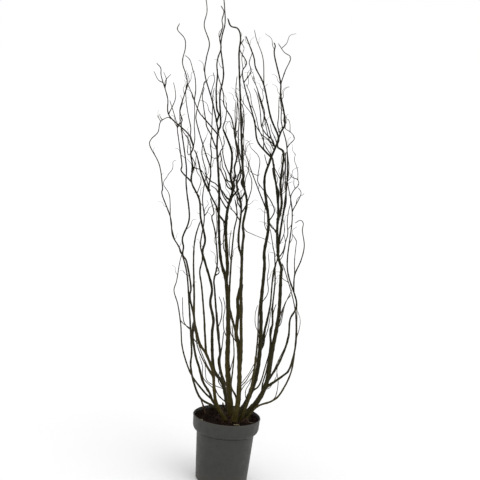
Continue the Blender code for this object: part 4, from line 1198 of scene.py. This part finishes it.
class WILLOW_OT_stems(bpy.types.Operator):
    """Winds the thirteen stems with their forks and twigs"""
    bl_idname = "willow.stems"
    bl_label = "Stems"

    def execute(self, context):
        given = context.scene.willow_stems
        finishes = {OLIVE: bark_material("willow_bark_green_olive", given.olive[:],
            given.upper[:], given.tip[:], 0.42), BROWN: bark_material("willow_bark_brown",
            given.brown[:], given.upper[:], given.tip[:], 0.48)}
        for i, (key, stem) in enumerate(STEMS.items()):
            luck = random.Random(given.seed * 100 + i)
            wood = stem_wood(key, stem, luck)
            made = place("willow_" + key, wood.mesh("willow_" + key), finishes[stem.bark])
            settle(made, "stem_" + key)
            SHOOTS.extend(wood.lines)
        return {"FINISHED"}


class WILLOW_OT_buds(bpy.types.Operator):
    """Sets the winter buds on every shoot"""
    bl_idname = "willow.buds"
    bl_label = "Buds"

    def execute(self, context):
        given = context.scene.willow_stems
        if not SHOOTS:
            raise RuntimeError("the stems come before the buds")
        points, edges, thick = [], [], []
        for line in SHOOTS:
            shown = [(c, r) for c, r in line[::4] if r < THIN_WOOD and c.z > BUDS_FROM]
            for i, (centre, radius) in enumerate(shown):
                if i:
                    edges.append((len(points) - 1, len(points)))
                points.append(tuple(centre))
                thick.append(radius * 1.05 + 0.0003)
        mesh = bpy.data.meshes.new("shoots")
        mesh.from_pydata(points, edges, [])
        mesh.attributes.new("thick", "FLOAT", "POINT").data.foreach_set("value", thick)
        made = grown(place("shoots", mesh), "willow_buds", bud_tree(),
            {"Spacing": given.bud_spacing, "Length": given.bud_length, "Seed": 5,
            "Material": bud_material()})
        settle(made, None)
        return {"FINISHED"}


class WILLOW_OT_spurs(bpy.types.Operator):
    """Grows short corkscrew spurs out of the upper shoots"""
    bl_idname = "willow.spurs"
    bl_label = "Spurs"

    def execute(self, context):
        given = context.scene.willow_stems
        low, high = CAD_BOX
        points, edges = [], []
        for line in SHOOTS:
            before = False
            for centre, radius in line[::3]:
                inside = all(low[i] + SPUR_MARGIN < centre[i] < high[i] - SPUR_MARGIN
                    for i in (0, 1))
                grown_here = inside and SPUR_ZONE[0] < centre.z < SPUR_ZONE[
                    1] and radius < THIN_WOOD
                if grown_here:
                    if before:
                        edges.append((len(points) - 1, len(points)))
                    points.append(tuple(centre))
                before = grown_here
        mesh = bpy.data.meshes.new("spur_shoots")
        mesh.from_pydata(points, edges, [])
        made = grown(place("spur_shoots", mesh), "willow_spurs", spur_tree(),
            {"Spacing": given.spur_spacing, "Length": given.spur_length, "Share": 0.6,
            "Seed": 9, "Material": twig_material(given.tip[:])})
        settle(made, None)
        return {"FINISHED"}


class WILLOW_OT_dead_wood(bpy.types.Operator):
    """Makes the dead stubs and the pale chips on the compost"""
    bl_idname = "willow.dead_wood"
    bl_label = "Stubs and chips"

    def execute(self, context):
        finish = old_wood_material("weathered_dead_willow", linear("4a3524"), linear("8d7453"),
            240.0)
        luck = random.Random(19)
        for name, (foot, head, radius) in STUBS.items():
            foot, head = Vector(foot), Vector(head)
            middle = foot.lerp(head, 0.5) + Vector((0.002, 0.0, 0.0))
            wood = Wood()
            wood.branch(smooth_route([foot, middle, head], 0.003), radius, radius * 0.8, 12,
                luck, knots=0.25)
            made = place("willow_" + name, wood.mesh("willow_" + name), finish)
            settle(made, name)
        pale = old_wood_material("split_willow_wood", linear("857a5e"), linear("c4bb9c"), 330.0)
        for name, (x, y, length, width, turn) in CHIPS.items():
            made = place("willow_" + name, chip_mesh(name, length, width, luck), pale)
            spin = Matrix.Rotation(math.radians(turn), 4, "Z")
            made.data.transform(Matrix.Translation((x, y, compost_height(x, y) + 0.0022))
                @ spin)
            settle(made, name)
        return {"FINISHED"}


def chip_mesh(name, length, width, luck):
    """A thin split flake with torn ends, slightly cupped."""
    rows, columns = 12, 6
    points, faces = [], []
    ends = [(luck.uniform(-0.12, 0.12), luck.uniform(-0.12, 0.12)) for _ in range(columns)]
    for layer in (0.5, -0.5):
        for i in range(rows):
            for k in range(columns):
                u, v = i / (rows - 1) - 0.5, k / (columns - 1) - 0.5
                reach = 1 + (ends[k][0] if u > 0 else ends[k][1]) * abs(u) * 2
                narrow = 1 - 0.35 * (2 * abs(u)) ** 3
                thin = 0.0018 * (1 - 0.6 * (2 * abs(v)) ** 4) * (1 - 0.5 * (2 * abs(u)) ** 6)
                cup = 0.0012 * (4 * v * v - 0.4) + 0.0008 * math.sin(5 * u)
                points.append((u * length * reach, v * width * narrow, cup + layer * thin))
    count = rows * columns
    for i in range(rows - 1):
        for k in range(columns - 1):
            a = i * columns + k
            faces.append((a, a + columns, a + columns + 1, a + 1))
            b = a + count
            faces.append((b, b + 1, b + columns + 1, b + columns))
    border = ([i * columns for i in range(rows)]
        + [(rows - 1) * columns + k for k in range(1, columns)]
        + [i * columns + columns - 1 for i in range(rows - 2, -1, -1)]
        + list(range(columns - 2, 0, -1)))
    for a, b in zip(border, border[1:] + border[:1]):
        faces.append((a, a + count, b + count, b))
    mesh = bpy.data.meshes.new(name)
    mesh.from_pydata(points, [], faces)
    shape = bmesh.new()
    shape.from_mesh(mesh)
    bmesh.ops.recalc_face_normals(shape, faces=shape.faces)
    shape.to_mesh(mesh)
    shape.free()
    mesh.shade_smooth()
    return mesh


class WILLOW_OT_stage(bpy.types.Operator):
    """Lays the floor and sets the light and the camera"""
    bl_idname = "willow.stage"
    bl_label = "Stage"

    def execute(self, context):
        given = context.scene.willow_stage
        finish, add, shader = new_material("matt_white_board")
        # A sheet of matt white board: no gloss, and the faintest unevenness.
        where = add("ShaderNodeTexCoord").outputs["Object"]
        uneven = add("ShaderNodeTexNoise", {"Vector": where, "Scale": 3.0})
        tone = add("ShaderNodeMapRange", {"Value": uneven, "To Min": 0.885, "To Max": 0.905})
        feed(shader, {"Base Color": tone, "Roughness": 1.0, "Specular IOR Level": 0.0})
        shape = bmesh.new()
        bmesh.ops.create_circle(shape, cap_ends=True, segments=96, radius=FLOOR_RADIUS)
        mesh = bpy.data.meshes.new("floor")
        shape.to_mesh(mesh)
        shape.free()
        floor = place("floor", mesh, finish)

        world = bpy.data.worlds.new("white_room")
        world.use_nodes = True
        room = world.node_tree
        room.nodes.clear()
        light = node(room, "ShaderNodeBackground",
            {"Color": (1, 1, 1, 1), "Strength": given.sky_strength})
        node(room, "ShaderNodeOutputWorld", {"Surface": light})
        context.scene.world = world

        sun = bpy.data.lights.new("main_light", "SUN")
        sun.energy, sun.angle = given.sun_strength, math.radians(35)
        lamp = bpy.data.objects.new("main_light", sun)
        lamp.rotation_euler = Vector(SUN_FROM).to_track_quat("Z", "Y").to_euler()
        context.scene.collection.objects.link(lamp)

        camera = bpy.data.cameras.new("camera")
        camera.lens, camera.sensor_width = given.lens, 36.0
        camera.clip_end = 200.0
        eye = bpy.data.objects.new("camera", camera)
        look = Euler((math.pi / 2 - given.tilt, 0.0, 0.0)).to_matrix()
        turn = look @ Matrix.Rotation(given.roll, 3, "Z")
        eye.matrix_world = Matrix.Translation(CAMERA_AT) @ turn.to_4x4()
        context.scene.collection.objects.link(eye)
        context.scene.camera = eye
        context.scene.view_settings.view_transform = "Standard"
        return {"FINISHED"}


class WILLOW_PT_panel(bpy.types.Panel):
    """Lists the shrub's settings and its steps"""
    bl_idname = "WILLOW_PT_panel"
    bl_label = "Curly willow"
    bl_space_type = "VIEW_3D"
    bl_region_type = "UI"
    bl_category = "Willow"

    def draw(self, context):
        scene = context.scene
        for group in (scene.willow_pot, scene.willow_compost, scene.willow_stems,
                scene.willow_stage):
            box = self.layout.box()
            for name in group.__annotations__:
                box.prop(group, name)
        for step in STEPS:
            self.layout.operator(step.bl_idname)


GROUPS = {"willow_pot": WillowPotSettings, "willow_compost": WillowCompostSettings,
          "willow_stems": WillowStemSettings, "willow_stage": WillowStageSettings}
STEPS = (WILLOW_OT_pot, WILLOW_OT_compost, WILLOW_OT_crown, WILLOW_OT_stems,
         WILLOW_OT_buds, WILLOW_OT_spurs, WILLOW_OT_dead_wood, WILLOW_OT_stage)


def register():
    for kind in (*GROUPS.values(), *STEPS, WILLOW_PT_panel):
        bpy.utils.register_class(kind)
    for name, kind in GROUPS.items():
        setattr(bpy.types.Scene, name, PointerProperty(type=kind))


def unregister():
    for name in GROUPS:
        delattr(bpy.types.Scene, name)
    for kind in reversed((*GROUPS.values(), *STEPS, WILLOW_PT_panel)):
        bpy.utils.unregister_class(kind)


def main():
    register()
    bpy.ops.willow.pot()
    bpy.ops.willow.compost()
    bpy.ops.willow.crown()
    bpy.ops.willow.stems()
    bpy.ops.willow.buds()
    bpy.ops.willow.spurs()
    bpy.ops.willow.dead_wood()
    bpy.ops.willow.stage()


if __name__ == "__main__":
    main()
